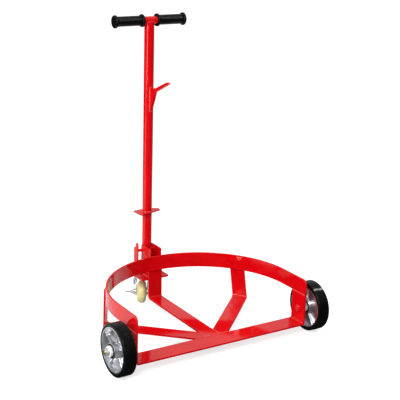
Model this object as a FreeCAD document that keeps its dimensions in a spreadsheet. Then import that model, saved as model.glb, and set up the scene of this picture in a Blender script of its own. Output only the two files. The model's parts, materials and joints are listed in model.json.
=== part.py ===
import FreeCAD, Part
import Sketcher
import math
import os

# A low-profile drum trolley: a half ring of flat bar on two wheels and a swivel caster,
# with a tilting T-handle at the rear. X is to the right, Y to the rear, Z up, millimetres.
# Pieces are laid out from a point on the floor under the ring's centre, and then
# moved forward so that the origin lies under the middle of the whole trolley.

DIMENSIONS = {
    # Flat bar frame
    "ring_inner_radius": 300,
    "band_height": 50,
    "band_bottom": 133,
    "bar_thick": 6,
    "leg_width": 50,
    "front_bar_width": 66,
    "front_edge": 119,
    "bar_top": 37,
    "bend_inside": 5,
    "band_corner": 16,
    "post_lap": 25,
    "side_post_degrees": 53,
    "side_foot_degrees": 46,
    "joint_gap": 0.2,
    # Main wheels and their axles
    "wheel_radius": 80,
    "tread_width": 40,
    "tread_thick": 11,
    "tread_shoulder": 3,
    "rim_thick": 5,
    "web_thick": 6,
    "web_setback": 21,
    "hub_radius": 24,
    "hub_length": 42,
    "hub_inner_recess": 2,
    "hub_bore_radius": 13,
    "rib_count": 5,
    "rib_start_degrees": 18,
    "rib_thick": 6,
    "rib_depth": 9,
    "rib_bite": 1.5,
    "axle_radius": 8,
    "axle_thread_radius": 6,
    "axle_weld_proud": 1,
    "axle_tip": 3,
    "axle_chamfer": 1,
    "bearing_radius": 17.5,
    "bearing_width": 11,
    "bearing_recess": 1,
    "seal_radius": 21,
    "seal_bore_radius": 17,
    "seal_thick": 1.5,
    "inner_spacer_radius": 16,
    "inner_spacer_length": 22,
    "outer_spacer_radius": 16.5,
    "outer_spacer_length": 7,
    "spacer_boss_radius": 12,
    "axle_washer_radius": 12,
    "axle_washer_thick": 2,
    "axle_nut_flats": 19,
    "axle_nut_height": 8,
    "running_gap": 0.3,
    "running_fit": 0.05,
    # Rear bracket
    "cheek_thick": 4,
    "cheek_gap": 34,
    "cheek_depth": 62,
    "cheek_top": 206.5,
    "base_plate_width": 102,
    "base_plate_length": 130,
    "base_plate_thick": 6,
    "base_plate_bottom": 100,
    "base_plate_corner": 3,
    "pivot_setback": 40,
    "pivot_rise": 44,
    "pivot_bolt_radius": 6,
    "pivot_bolt_flats": 19,
    "pivot_head_height": 8,
    "pivot_nut_height": 10,
    "pivot_washer_radius": 12,
    "pivot_washer_thick": 2,
    "pivot_bolt_tip": 3,
    "tie_pin_radius": 4,
    "tie_pin_setback": 21,
    "tie_pin_drop": 4,
    "tie_pin_head_radius": 6.5,
    "tie_pin_head_thick": 3,
    # Tilting handle
    "tube_radius": 16,
    "tube_wall": 2.5,
    "tube_setback": 22,
    "tube_bottom_drop": 11,
    "barrel_radius": 13,
    "bush_radius": 9,
    "bush_length": 12,
    "crossbar_height": 953,
    "crossbar_radius": 12.5,
    "crossbar_wall": 2,
    "crossbar_saddle": 4,
    "grip_length": 103,
    "grip_inner_end": 23.5,
    "grip_radius": 16,
    "grip_flange_radius": 20.5,
    "grip_flange_width": 8,
    "grip_flange_round": 3,
    "grip_end_wall": 3,
    "hook_thick": 8,
    "hook_bottom": 658,
    "hook_shelf": 741,
    "hook_shelf_depth": 26,
    "hook_prong_reach": 104,
    "hook_prong_rise": 33.5,
    "hook_prong_depth": 11,
    "hook_end_reach": 15,
    "hook_end_drop": 3,
    "pedal_height": 318,
    "pedal_thick": 4,
    "pedal_width": 90,
    "pedal_depth": 58,
    # Handle lock
    "lock_shaft_radius": 5,
    "lock_shaft_above_pivot": 41,
    "lock_shaft_behind_pivot": 11,
    "lock_notch_rise": 2.2,
    "lock_flat_depth": 3,
    "lock_flat_length": 33,
    "lock_lever_offset": 40,
    "lock_lever_thick": 3,
    "lock_lever_width": 28,
    "lock_lever_front": 6,
    "lock_lever_below": 67,
    "lock_lever_above": 9,
    "lock_tongue_width": 16,
    "lock_tongue_height": 18,
    "lock_lever_corner": 4,
    "lock_nut_flats": 19,
    "lock_nut_height": 9,
    "lock_shaft_tip": 2,
    # Swivel caster
    "caster_turn_degrees": 32,
    "caster_setback": 90,
    "caster_trail": 36,
    "caster_wheel_radius": 38,
    "caster_tread_width": 30,
    "caster_tread_round": 13,
    "caster_hub_width": 34,
    "caster_hub_radius": 15,
    "caster_side_dish": 3,
    "caster_rim_width": 9,
    "caster_bush_radius": 7,
    "caster_axle_radius": 4,
    "fork_gap": 36,
    "fork_thick": 3,
    "fork_crown_thick": 3.5,
    "fork_crown_half_length": 22,
    "fork_bend": 7,
    "fork_crown_half_width": 28,
    "fork_flare_rise": 24,
    "fork_eye_radius": 13,
    "fork_skirt": 14,
    "fork_lug_width": 12,
    "fork_lug_height": 22,
    "fork_lug_low": 57,
    "top_plate_thick": 4,
    "top_plate_width": 78,
    "top_plate_length": 84,
    "top_plate_corner": 8,
    "ball_radius": 2.5,
    "ball_circle_radius": 18,
    "ball_count": 14,
    "kingpin_radius": 6,
    "kingpin_head_radius": 9,
    "kingpin_head_thick": 3,
    "mount_bolt_radius": 4,
    "mount_bolt_flats": 13,
    "mount_head_height": 5.3,
    "mount_nut_height": 6.5,
    "mount_bolt_tip": 2,
    "mount_bolt_across": 60,
    "mount_bolt_along": 66,
    "caster_nut_flats": 13,
    "caster_nut_height": 6.5,
    "caster_head_height": 5.3,
    "caster_bolt_tip": 2,
    "brake_hub_radius": 11,
    "brake_hub_width": 7,
    "brake_tab_reach": 36,
    "brake_tab_width": 21,
    "brake_tab_tip": 4,
    "brake_tab_drop": 8,
    "brake_tab_thick": 3,
    "brake_tab_setback": 7,
    # Cutting tools run past the faces that they cut
    "overrun": 2,
}

# Outline of the foot pedal, as shares of its width to the right of the tube
# and of its depth behind the tube, and of the hook's curved gusset
PEDAL_SHARES = (
    (-0.45, 0.37),
    (-0.45, -0.40),
    (-0.38, -0.58),
    (0.52, -0.09),
    (0.55, 0.19),
    (0.33, 0.37),
    (-0.07, 0.45),
)
GUSSET_SHARES = ((0.62, 0.58), (0.30, 0.28))
HOOK_ROOT_SHARE = 0.12
QUARTER_TURN = 90
HALF_TURN = 180
FULL_TURN = 360
HEX_SIDES = 6
NEAR = 1e-3
X_AXIS = FreeCAD.Vector(1, 0, 0)
Y_AXIS = FreeCAD.Vector(0, 1, 0)
Z_AXIS = FreeCAD.Vector(0, 0, 1)

doc = FreeCAD.newDocument("drum_trolley")
sheet = doc.addObject("Spreadsheet::Sheet", "dims")
for row, (name, number) in enumerate(DIMENSIONS.items(), start=1):
    sheet.set(f"A{row}", name)
    sheet.set(f"B{row}", str(number))
    sheet.setAlias(f"B{row}", name)
doc.recompute()


# Sizes that know both their number and their sheet expression

class Size:
    """A length, angle or share, with its number and the sheet expression behind it."""

    def __init__(self, value, text):
        self.value = float(value)
        self.text = text

    def __add__(self, other):
        other = as_size(other)
        return Size(self.value + other.value, f"({self.text} + {other.text})")

    def __sub__(self, other):
        other = as_size(other)
        return Size(self.value - other.value, f"({self.text} - {other.text})")

    def __mul__(self, other):
        other = as_size(other)
        return Size(self.value * other.value, f"({self.text} * {other.text})")

    def __truediv__(self, other):
        other = as_size(other)
        return Size(self.value / other.value, f"({self.text} / {other.text})")

    def __neg__(self):
        return Size(-self.value, f"(-1 * {self.text})")


def as_size(item):
    """Plain numbers, such as shares and zero, become sizes too."""
    if isinstance(item, Size):
        return item
    return Size(item, f"({float(item):.9f})")


def sine(angle):
    return Size(math.sin(math.radians(angle.value)), f"sin({angle.text})")


def cosine(angle):
    return Size(math.cos(math.radians(angle.value)), f"cos({angle.text})")


class Dimensions:
    """Reads the sheet's cells by their alias."""

    def __getattr__(self, alias):
        return Size(getattr(sheet, alias), f"dims.{alias}")


d = Dimensions()
ZERO = as_size(0)


# Document helpers

def bind(item, path, size):
    """Ties a property to the sheet."""
    item.setExpression(path, as_size(size).text)


def origin_plane(body, role):
    return next(plane for plane in body.Origin.OriginFeatures if plane.Role == role)


def corner_points(corners):
    """Turns corners (across, up[, radius]) into outline points, each with the corner radius
    that leads on from it as an arc, or None where a straight line follows."""
    points = []
    for index, corner in enumerate(corners):
        across, up = as_size(corner[0]), as_size(corner[1])
        if len(corner) == 2:
            points.append((across, up, None, None))
            continue
        radius = corner[2]
        ends = []
        for other in (corners[index - 1], corners[(index + 1) % len(corners)]):
            run = as_size(other[0]).value - across.value
            climb = as_size(other[1]).value - up.value
            if abs(run) > abs(climb):
                ends.append((across + radius if run > 0 else across - radius, up))
            else:
                ends.append((across, up + radius if climb > 0 else up - radius))
        points.append((*ends[0], radius, (across, up)))
        points.append((*ends[1], None, None))
    return points


def draw_outline(sketch, corners):
    """Draws a closed outline of lines and corner arcs, with each point tied to the sheet."""
    points = corner_points(corners)
    pieces = []
    for index, (across, up, radius, corner) in enumerate(points):
        following = points[(index + 1) % len(points)]
        start = FreeCAD.Vector(across.value, up.value, 0)
        end = FreeCAD.Vector(following[0].value, following[1].value, 0)
        if (end - start).Length < NEAR:
            continue
        if radius is None:
            geometry = sketch.addGeometry(Part.LineSegment(start, end), False)
            pieces.append((geometry, 1, 2, across, up))
            continue
        sharp = FreeCAD.Vector(corner[0].value, corner[1].value, 0)
        centre = start + end - sharp
        angles = [math.atan2(point.y - centre.y, point.x - centre.x) for point in (start, end)]
        clockwise = (start - centre).cross(end - centre).z < 0
        if clockwise:
            angles.reverse()
        circle = Part.Circle(centre, Z_AXIS, radius.value)
        geometry = sketch.addGeometry(Part.ArcOfCircle(circle, *angles), False)
        index_of_radius = sketch.addConstraint(Sketcher.Constraint("Radius", geometry, radius.value))
        bind(sketch, f"Constraints[{index_of_radius}]", radius)
        pieces.append((geometry, 2, 1, across, up) if clockwise else (geometry, 1, 2, across, up))
    for index, (geometry, first, last, across, up) in enumerate(pieces):
        following = pieces[(index + 1) % len(pieces)]
        sketch.addConstraint(Sketcher.Constraint("Coincident", geometry, last, following[0], following[1]))
        for kind, axis, size in (("DistanceX", -2, across), ("DistanceY", -1, up)):
            if size.value == 0:
                sketch.addConstraint(Sketcher.Constraint("PointOnObject", geometry, first, axis))
                continue
            number = sketch.addConstraint(
                Sketcher.Constraint(kind, -1, 1, geometry, first, size.value))
            bind(sketch, f"Constraints[{number}]", size)


def sketched(label, role, corners):
    """A new body with one sketch on one of its origin planes."""
    body = doc.addObject("PartDesign::Body", label)
    sketch = body.newObject("Sketcher::SketchObject", label + "_outline")
    sketch.AttachmentSupport = [(origin_plane(body, role), "")]
    sketch.MapMode = "FlatFace"
    draw_outline(sketch, corners)
    return body, sketch


def padded(label, role, corners, depth):
    """A plate: an outline on an origin plane, padded along that plane's normal."""
    body, sketch = sketched(label, role, corners)
    pad = body.newObject("PartDesign::Pad", label + "_pad")
    pad.Profile = sketch
    bind(pad, "Length", depth)
    return body


def turned(label, corners, role="XY_Plane", axis="H_Axis"):
    """A turned piece: an outline (along, radius) revolved about X, or about Z from XZ_Plane."""
    body, sketch = sketched(label, role, corners)
    revolution = body.newObject("PartDesign::Revolution", label + "_turn")
    revolution.Profile = sketch
    revolution.ReferenceAxis = (sketch, [axis])
    revolution.Angle = FULL_TURN
    return body


def ring_corners(start, end, inner, outer):
    """A turned sleeve's half section."""
    return [(start, inner), (start, outer), (end, outer), (end, inner)]


def cylinder(label, radius, length):
    item = doc.addObject("Part::Cylinder", label)
    bind(item, "Radius", radius)
    bind(item, "Height", length)
    return item


def box(label, across, along, up):
    item = doc.addObject("Part::Box", label)
    bind(item, "Length", across)
    bind(item, "Width", along)
    bind(item, "Height", up)
    return item


def hex_prism(label, flats, height):
    item = doc.addObject("Part::Prism", label)
    item.Polygon = HEX_SIDES
    bind(item, "Circumradius", flats / (2 * math.cos(math.pi / HEX_SIDES)))
    bind(item, "Height", height)
    return item


def cut(label, base, *tools):
    item = doc.addObject("Part::Cut", label)
    item.Base = base
    item.Tool = tools[0] if len(tools) == 1 else joined(label + "_tools", *tools)
    return item


def joined(label, *pieces):
    item = doc.addObject("Part::MultiFuse", label)
    item.Shapes = list(pieces)
    item.Refine = True
    return item


def group(label, *pieces):
    """Like pieces that stay separate solids in one node."""
    item = doc.addObject("Part::Compound", label)
    item.Links = list(pieces)
    return item


def spot(item, x=ZERO, y=ZERO, z=ZERO):
    """Places an item within its own piece."""
    for path, size in (("x", x), ("y", y), ("z", z)):
        bind(item, f"Placement.Base.{path}", size)
    return item


def aim(item, axis, degrees):
    """Turns an item before it is placed."""
    item.Placement = FreeCAD.Placement(FreeCAD.Vector(), FreeCAD.Rotation(axis, degrees))
    return item


def place(item, x=ZERO, y=ZERO, z=ZERO):
    """Places a piece on the trolley, moved forward to the trolley's own origin."""
    return spot(item, x, as_size(y) - middle, z)


def rounded_edges(label, base, radius, wanted):
    """Rounds the edges that a test on each edge picks."""
    doc.recompute()
    item = doc.addObject("Part::Fillet", label)
    item.Base = base
    picked = [number for number, edge in enumerate(base.Shape.Edges, start=1) if wanted(edge)]
    item.Edges = [(number, radius.value, radius.value) for number in picked]
    return item


# Shared places
ring_outer = d.ring_inner_radius + d.bar_thick
front = -d.front_edge
front_bar_rear = front + d.front_bar_width
axle_y = front + d.front_bar_width / 2
bar_bottom = d.bar_top - d.bar_thick
post_outer = ring_outer + d.bar_thick
plate_rear = post_outer + d.base_plate_length
plate_top = d.base_plate_bottom + d.base_plate_thick
middle = (plate_rear + axle_y - d.wheel_radius) / 2
cheek_outer = d.cheek_gap / 2 + d.cheek_thick
pivot_y = ring_outer + d.pivot_setback
pivot_z = plate_top + d.pivot_rise
tube_y = pivot_y + d.tube_setback
shaft_y = pivot_y + d.lock_shaft_behind_pivot
shaft_z = pivot_z + d.lock_shaft_above_pivot
bend_outside = d.bend_inside + d.bar_thick
nodes = []


# Ring band: flat bar rolled to a half circle, with straight ends to the front

band_sharp = padded("ring_band_bar", "XY_Plane", [
    (ring_outer, front),
    (ring_outer, ring_outer, ring_outer),
    (-ring_outer, ring_outer, ring_outer),
    (-ring_outer, front),
    (-d.ring_inner_radius, front),
    (-d.ring_inner_radius, d.ring_inner_radius, d.ring_inner_radius),
    (d.ring_inner_radius, d.ring_inner_radius, d.ring_inner_radius),
    (d.ring_inner_radius, front),
], d.band_height)
place(band_sharp, z=d.band_bottom)
band_top = d.band_bottom + d.band_height


def is_band_corner(edge):
    """The two short edges at the band's front top corners."""
    middle_point = edge.CenterOfMass
    at_front = abs(middle_point.y - (front - middle).value) < NEAR
    return at_front and abs(middle_point.z - band_top.value) < NEAR


nodes.append(rounded_edges("ring_band", band_sharp, d.band_corner, is_band_corner))


# Front bar: flat bar laid flat, with both ends bent up to the ring and drilled for the axles

front_blank = padded("front_bar_blank", "XZ_Plane", [
    (-ring_outer, d.band_bottom),
    (-ring_outer, bar_bottom, bend_outside),
    (ring_outer, bar_bottom, bend_outside),
    (ring_outer, d.band_bottom),
    (d.ring_inner_radius, d.band_bottom),
    (d.ring_inner_radius, d.bar_top, d.bend_inside),
    (-d.ring_inner_radius, d.bar_top, d.bend_inside),
    (-d.ring_inner_radius, d.band_bottom),
], d.front_bar_width)
place(front_blank, y=front_bar_rear)
axle_drill = cylinder("axle_drill", d.axle_radius + d.running_fit, (ring_outer + d.overrun) * 2)
aim(axle_drill, Y_AXIS, QUARTER_TURN)
place(axle_drill, x=-ring_outer - d.overrun, y=axle_y, z=d.wheel_radius)
nodes.append(cut("front_bar", front_blank, axle_drill))


# Rear leg: flat bar bent to an L, from the ring's outer face to the front bar

rear_leg = padded("rear_leg", "YZ_Plane", [
    (front_bar_rear + d.joint_gap, bar_bottom),
    (post_outer, bar_bottom, bend_outside),
    (post_outer, d.band_bottom + d.post_lap),
    (ring_outer, d.band_bottom + d.post_lap),
    (ring_outer, d.bar_top, d.bend_inside),
    (front_bar_rear + d.joint_gap, d.bar_top),
], d.leg_width)
nodes.append(place(rear_leg, x=-d.leg_width / 2))


# Side legs: flat bar with a skewed bend, so that the post lies flat on the ring
# while the foot runs to the middle of the front bar. The post leans by the skew.

post_sine = sine(d.side_post_degrees)
post_cosine = cosine(d.side_post_degrees)
foot_sine = sine(d.side_foot_degrees)
foot_cosine = cosine(d.side_foot_degrees)
skew_sine = post_sine * foot_cosine - post_cosine * foot_sine
skew_cosine = post_cosine * foot_cosine + post_sine * foot_sine
post_lean = (d.band_bottom + d.post_lap / 2 - bar_bottom) * skew_sine / skew_cosine
foot_offset = post_outer * skew_sine + post_lean * skew_cosine
inner_edge = foot_offset - d.leg_width / 2
outer_edge = foot_offset + d.leg_width / 2
foot_side = d.leg_width / 2 + d.joint_gap
foot_front = front_bar_rear + d.joint_gap


def foot_point(edge, reach):
    """A point on a side foot: its distance across from the centre line, and its reach along."""
    return (edge * foot_cosine + reach * foot_sine, reach * foot_cosine - edge * foot_sine)


def reach_to_post(edge):
    """How far along the foot the post's outer face lies."""
    return (post_outer - edge * skew_sine) / skew_cosine


foot_blank = padded("right_foot", "XY_Plane", [
    (foot_side, (foot_side * foot_cosine - inner_edge) / foot_sine),
    (foot_side, foot_front),
    ((outer_edge + foot_front * foot_sine) / foot_cosine, foot_front),
    foot_point(outer_edge, reach_to_post(outer_edge)),
    foot_point(inner_edge, reach_to_post(inner_edge)),
], d.bar_thick + d.bend_inside)
place(foot_blank, z=bar_bottom)
post_height = d.band_bottom + d.post_lap - bar_bottom
half_bend_line = d.leg_width / (skew_cosine * 2)
post_shift = post_height * skew_sine / skew_cosine
post_blank = padded("right_post", "XZ_Plane", [
    (post_lean - half_bend_line, ZERO),
    (post_lean + half_bend_line, ZERO),
    (post_lean + half_bend_line - post_shift, post_height),
    (post_lean - half_bend_line - post_shift, post_height),
], d.bar_thick + d.bend_inside)
bent_bar = padded("right_leg_bar", "YZ_Plane", [
    (-d.leg_width, bar_bottom),
    (post_outer, bar_bottom, bend_outside),
    (post_outer, d.band_bottom + d.post_lap),
    (ring_outer, d.band_bottom + d.post_lap),
    (ring_outer, d.bar_top, d.bend_inside),
    (-d.leg_width, d.bar_top),
], ring_outer * 2)


def face_post(item):
    """Turns a piece so that its own Y points out through the right post."""
    aim(item, -Z_AXIS, d.side_post_degrees.value)
    bind(item, "Placement.Rotation.Angle", d.side_post_degrees)
    return item


place(face_post(post_blank), post_outer * post_sine, post_outer * post_cosine, bar_bottom)
place(face_post(bent_bar), -ring_outer * post_cosine, ring_outer * post_sine)
right_leg = doc.addObject("Part::Common", "right_leg")
right_leg.Base = bent_bar
right_leg.Tool = joined("right_leg_trim", foot_blank, post_blank)
left_leg = doc.addObject("Part::Mirroring", "left_leg")
left_leg.Source = right_leg
left_leg.Normal = X_AXIS
nodes += [right_leg, left_leg]


# Rear bracket: two cheek plates stand on the caster's base plate behind the ring

base_plate_blank = padded("base_plate_blank", "XY_Plane", [
    (-d.base_plate_width / 2, ring_outer, d.base_plate_corner),
    (-foot_side, ring_outer),
    (-foot_side, post_outer),
    (foot_side, post_outer),
    (foot_side, ring_outer),
    (d.base_plate_width / 2, ring_outer, d.base_plate_corner),
    (d.base_plate_width / 2, plate_rear, d.base_plate_corner),
    (-d.base_plate_width / 2, plate_rear, d.base_plate_corner),
], d.base_plate_thick)
place(base_plate_blank, z=d.base_plate_bottom)


def cross_drill(label, radius, y, z):
    """A drill along X through both cheeks."""
    drill = cylinder(label, radius, (cheek_outer + d.overrun) * 2)
    aim(drill, Y_AXIS, QUARTER_TURN)
    return place(drill, x=-cheek_outer - d.overrun, y=y, z=z)


tie_y = ring_outer + d.tie_pin_setback
tie_z = pivot_z - d.tie_pin_drop
drills = [
    cross_drill("pivot_drill", d.pivot_bolt_radius + d.running_fit, pivot_y, pivot_z),
    cross_drill("lock_drill", d.lock_shaft_radius + d.running_fit, shaft_y, shaft_z),
    cross_drill("tie_drill", d.tie_pin_radius + d.running_fit, tie_y, tie_z),
]
cheek_drills = joined("cheek_drills", *drills)
for side, inner_face in (("left", -cheek_outer), ("right", d.cheek_gap / 2)):
    blank = padded(f"{side}_cheek_blank", "YZ_Plane", [
        (ring_outer, d.band_bottom + d.post_lap + d.joint_gap),
        (ring_outer, d.cheek_top),
        (ring_outer + d.cheek_depth, d.cheek_top),
        (ring_outer + d.cheek_depth, plate_top),
        (post_outer + d.joint_gap, plate_top),
        (post_outer + d.joint_gap, d.band_bottom + d.post_lap + d.joint_gap),
    ], d.cheek_thick)
    place(blank, x=inner_face)
    nodes.append(cut(f"{side}_cheek", blank, cheek_drills))

tie_half = cheek_outer + d.tie_pin_head_thick
tie_pin = turned("tie_pin", [
    (-tie_half, ZERO),
    (-tie_half, d.tie_pin_head_radius),
    (-cheek_outer, d.tie_pin_head_radius),
    (-cheek_outer, d.tie_pin_radius),
    (cheek_outer, d.tie_pin_radius),
    (cheek_outer, d.tie_pin_head_radius),
    (tie_half, d.tie_pin_head_radius),
    (tie_half, ZERO),
])
nodes.append(place(tie_pin, y=tie_y, z=tie_z))


# Pivot bolt: hex head to the left, washers, and a nut to the right

washer_end = cheek_outer + d.pivot_washer_thick
nut_end = washer_end + d.pivot_nut_height
pivot_shank = turned("pivot_shank", [
    (-washer_end, ZERO),
    (-washer_end, d.pivot_bolt_radius),
    (nut_end + d.pivot_bolt_tip, d.pivot_bolt_radius),
    (nut_end + d.pivot_bolt_tip, ZERO),
])
pivot_head = hex_prism("pivot_head", d.pivot_bolt_flats, d.pivot_head_height)
aim(pivot_head, Y_AXIS, QUARTER_TURN)
spot(pivot_head, x=-washer_end - d.pivot_head_height)
nodes.append(place(joined("pivot_bolt", pivot_shank, pivot_head), y=pivot_y, z=pivot_z))


def hex_nut(label, flats, height, bore):
    """A hex nut along X from its own origin."""
    block = aim(hex_prism(label + "_block", flats, height), Y_AXIS, QUARTER_TURN)
    hole = aim(cylinder(label + "_hole", bore, height + d.overrun * 2), Y_AXIS, QUARTER_TURN)
    spot(hole, x=-d.overrun)
    return cut(label, block, hole)


pivot_nut = hex_nut("pivot_nut", d.pivot_bolt_flats, d.pivot_nut_height,
                    d.pivot_bolt_radius + d.running_fit)
nodes.append(place(pivot_nut, x=washer_end, y=pivot_y, z=pivot_z))
washers = []
for side, start in (("left", -washer_end), ("right", cheek_outer)):
    washer = turned(f"pivot_washer_{side}", ring_corners(
        ZERO, d.pivot_washer_thick, d.pivot_bolt_radius + d.running_fit, d.pivot_washer_radius))
    washers.append(place(washer, x=start, y=pivot_y, z=pivot_z))
nodes.append(group("pivot_washers", *washers))


# Main wheels: each turns on a stub axle welded through the front bar's end

hub_start = d.inner_spacer_length + d.running_gap
hub_end = hub_start + d.hub_length
tread_start = hub_start - d.hub_inner_recess
tread_end = tread_start + d.tread_width
rim_radius = d.wheel_radius - d.tread_thick
rim_inside = rim_radius - d.rim_thick
web_start = tread_end - d.web_setback - d.web_thick
web_end = tread_end - d.web_setback
seat_depth = d.bearing_width + d.bearing_recess
spacer_face = hub_end + d.seal_thick + d.running_gap
spacer_end = spacer_face + d.outer_spacer_length
washer_face = spacer_end + d.axle_washer_thick
nut_face = washer_face + d.axle_nut_height
axle_end = nut_face + d.axle_tip
axle_bore = d.axle_radius + d.running_fit
thread_bore = d.axle_thread_radius + d.running_fit
inner_face_of_bearing = hub_start + d.bearing_recess
outer_face_of_bearing = hub_end - d.bearing_recess


def on_axle(item, side):
    """Places a piece on one axle: its X runs outward from the front bar's outer face."""
    if side == "left":
        aim(item, Z_AXIS, HALF_TURN)
    return place(item, ring_outer if side == "right" else -ring_outer, axle_y, d.wheel_radius)


def stub_axle(side):
    tail = -d.bar_thick - d.axle_weld_proud
    return turned(f"{side}_axle", [
        (tail, ZERO),
        (tail, d.axle_radius),
        (spacer_end, d.axle_radius),
        (spacer_end, d.axle_thread_radius),
        (axle_end - d.axle_chamfer, d.axle_thread_radius),
        (axle_end, d.axle_thread_radius - d.axle_chamfer),
        (axle_end, ZERO),
    ])


def wheel_core(side):
    """Cast wheel centre: hub, dished web and rim, with ribs on the outer and inner side."""
    casting = turned(f"{side}_casting", [
        (hub_start, d.bearing_radius),
        (hub_start, d.hub_radius),
        (web_start, d.hub_radius),
        (web_start, rim_inside),
        (tread_start, rim_inside),
        (tread_start, rim_radius),
        (tread_end, rim_radius),
        (tread_end, rim_inside),
        (web_end, rim_inside),
        (web_end, d.hub_radius),
        (hub_end, d.hub_radius),
        (hub_end, d.bearing_radius),
        (hub_end - seat_depth, d.bearing_radius),
        (hub_end - seat_depth, d.hub_bore_radius),
        (hub_start + seat_depth, d.hub_bore_radius),
        (hub_start + seat_depth, d.bearing_radius),
    ])
    ribs = []
    count = int(d.rib_count.value)
    for number in range(count):
        rib = box(f"{side}_rib_{number}", d.web_thick + d.rib_depth * 2,
                  rim_inside - d.hub_radius + d.rib_bite * 2, d.rib_thick)
        degrees = d.rib_start_degrees + FULL_TURN * number / count
        aim(rib, X_AXIS, degrees.value)
        bind(rib, "Placement.Rotation.Angle", degrees)
        reach = d.hub_radius - d.rib_bite
        spot(rib, web_start - d.rib_depth,
             reach * cosine(degrees) + d.rib_thick / 2 * sine(degrees),
             reach * sine(degrees) - d.rib_thick / 2 * cosine(degrees))
        ribs.append(rib)
    return joined(f"{side}_wheel_core", casting, *ribs)


def tyre(side):
    return turned(f"{side}_tyre", [
        (tread_start, rim_radius),
        (tread_start, d.wheel_radius, d.tread_shoulder),
        (tread_end, d.wheel_radius, d.tread_shoulder),
        (tread_end, rim_radius),
    ])


def inner_spacer(side):
    return turned(f"{side}_inner_spacer", [
        (ZERO, axle_bore),
        (ZERO, d.inner_spacer_radius),
        (d.inner_spacer_length, d.inner_spacer_radius),
        (d.inner_spacer_length, d.spacer_boss_radius),
        (inner_face_of_bearing - d.running_gap, d.spacer_boss_radius),
        (inner_face_of_bearing - d.running_gap, axle_bore),
    ])


def outer_spacer(side):
    return turned(f"{side}_outer_spacer", [
        (outer_face_of_bearing + d.running_gap, axle_bore),
        (outer_face_of_bearing + d.running_gap, d.spacer_boss_radius),
        (spacer_face, d.spacer_boss_radius),
        (spacer_face, d.outer_spacer_radius),
        (spacer_end, d.outer_spacer_radius),
        (spacer_end, axle_bore),
    ])


inner_spacers, outer_spacers, axle_washers, axle_nuts = [], [], [], []
for side in ("left", "right"):
    nodes.append(on_axle(stub_axle(side), side))
    nodes.append(on_axle(wheel_core(side), side))
    nodes.append(on_axle(tyre(side), side))
    bearings = []
    for name, start in (("inner", inner_face_of_bearing), ("outer", outer_face_of_bearing - d.bearing_width)):
        bearing = turned(f"{side}_{name}_bearing", ring_corners(
            start, start + d.bearing_width, axle_bore, d.bearing_radius))
        bearings.append(on_axle(bearing, side))
    nodes.append(group(f"{side}_wheel_bearings", *bearings))
    seals = []
    for name, start in (("inner", hub_start - d.seal_thick), ("outer", hub_end)):
        seal = turned(f"{side}_{name}_seal", ring_corners(
            start, start + d.seal_thick, d.seal_bore_radius, d.seal_radius))
        seals.append(on_axle(seal, side))
    nodes.append(group(f"{side}_wheel_seals", *seals))
    inner_spacers.append(on_axle(inner_spacer(side), side))
    outer_spacers.append(on_axle(outer_spacer(side), side))
    washer = turned(f"{side}_axle_washer", ring_corners(
        spacer_end, washer_face, thread_bore, d.axle_washer_radius))
    axle_washers.append(on_axle(washer, side))
    nut = hex_nut(f"{side}_axle_nut", d.axle_nut_flats, d.axle_nut_height, thread_bore)
    outward = ring_outer + washer_face
    if side == "left":
        aim(nut, Z_AXIS, HALF_TURN)
        outward = -outward
    axle_nuts.append(place(nut, outward, axle_y, d.wheel_radius))
nodes.append(group("inner_spacers", *inner_spacers))
nodes.append(group("outer_spacers", *outer_spacers))
nodes.append(group("axle_washers", *axle_washers))
nodes.append(group("axle_nuts", *axle_nuts))


# Handle: a tube welded behind a pivot barrel, with a crossbar on top

barrel_half = d.cheek_gap / 2 - d.running_gap
barrel = turned("pivot_barrel", [
    (-barrel_half, d.bush_radius),
    (-barrel_half, d.barrel_radius),
    (barrel_half, d.barrel_radius),
    (barrel_half, d.bush_radius),
])
nodes.append(place(barrel, y=pivot_y, z=pivot_z))
bushes = []
for side, start in (("left", -barrel_half), ("right", barrel_half - d.bush_length)):
    bush = turned(f"pivot_bush_{side}", ring_corners(
        ZERO, d.bush_length, d.pivot_bolt_radius + d.running_fit, d.bush_radius))
    bushes.append(place(bush, x=start, y=pivot_y, z=pivot_z))
nodes.append(group("pivot_bushes", *bushes))

tube_bottom = pivot_z - d.tube_bottom_drop
tube_top = d.crossbar_height - d.crossbar_saddle
tube_blank = turned("tube_blank", [
    (d.tube_radius - d.tube_wall, ZERO),
    (d.tube_radius, ZERO),
    (d.tube_radius, tube_top - tube_bottom),
    (d.tube_radius - d.tube_wall, tube_top - tube_bottom),
], "XZ_Plane", "V_Axis")
place(tube_blank, y=tube_y, z=tube_bottom)
tube_reach = d.tube_radius + d.overrun
barrel_cope = aim(cylinder("barrel_cope", d.barrel_radius, tube_reach * 2), Y_AXIS, QUARTER_TURN)
place(barrel_cope, x=-tube_reach, y=pivot_y, z=pivot_z)
crossbar_cope = aim(cylinder("crossbar_cope", d.crossbar_radius, tube_reach * 2), Y_AXIS, QUARTER_TURN)
place(crossbar_cope, x=-tube_reach, y=tube_y, z=d.crossbar_height)
notch_clear = d.lock_shaft_radius + d.running_gap
notch_depth = shaft_y + notch_clear - tube_y + tube_reach
lock_notch = box("lock_notch", tube_reach * 2, notch_depth, notch_clear * 2 + d.lock_notch_rise)
place(lock_notch, x=-tube_reach, y=tube_y - tube_reach, z=shaft_z - notch_clear)
nodes.append(cut("handle_tube", tube_blank, barrel_cope, crossbar_cope, lock_notch))

grip_outer_end = d.grip_inner_end + d.grip_length
crossbar_half = grip_outer_end - d.grip_end_wall
crossbar = turned("crossbar", ring_corners(
    -crossbar_half, crossbar_half, d.crossbar_radius - d.crossbar_wall, d.crossbar_radius))
nodes.append(place(crossbar, y=tube_y, z=d.crossbar_height))

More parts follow.
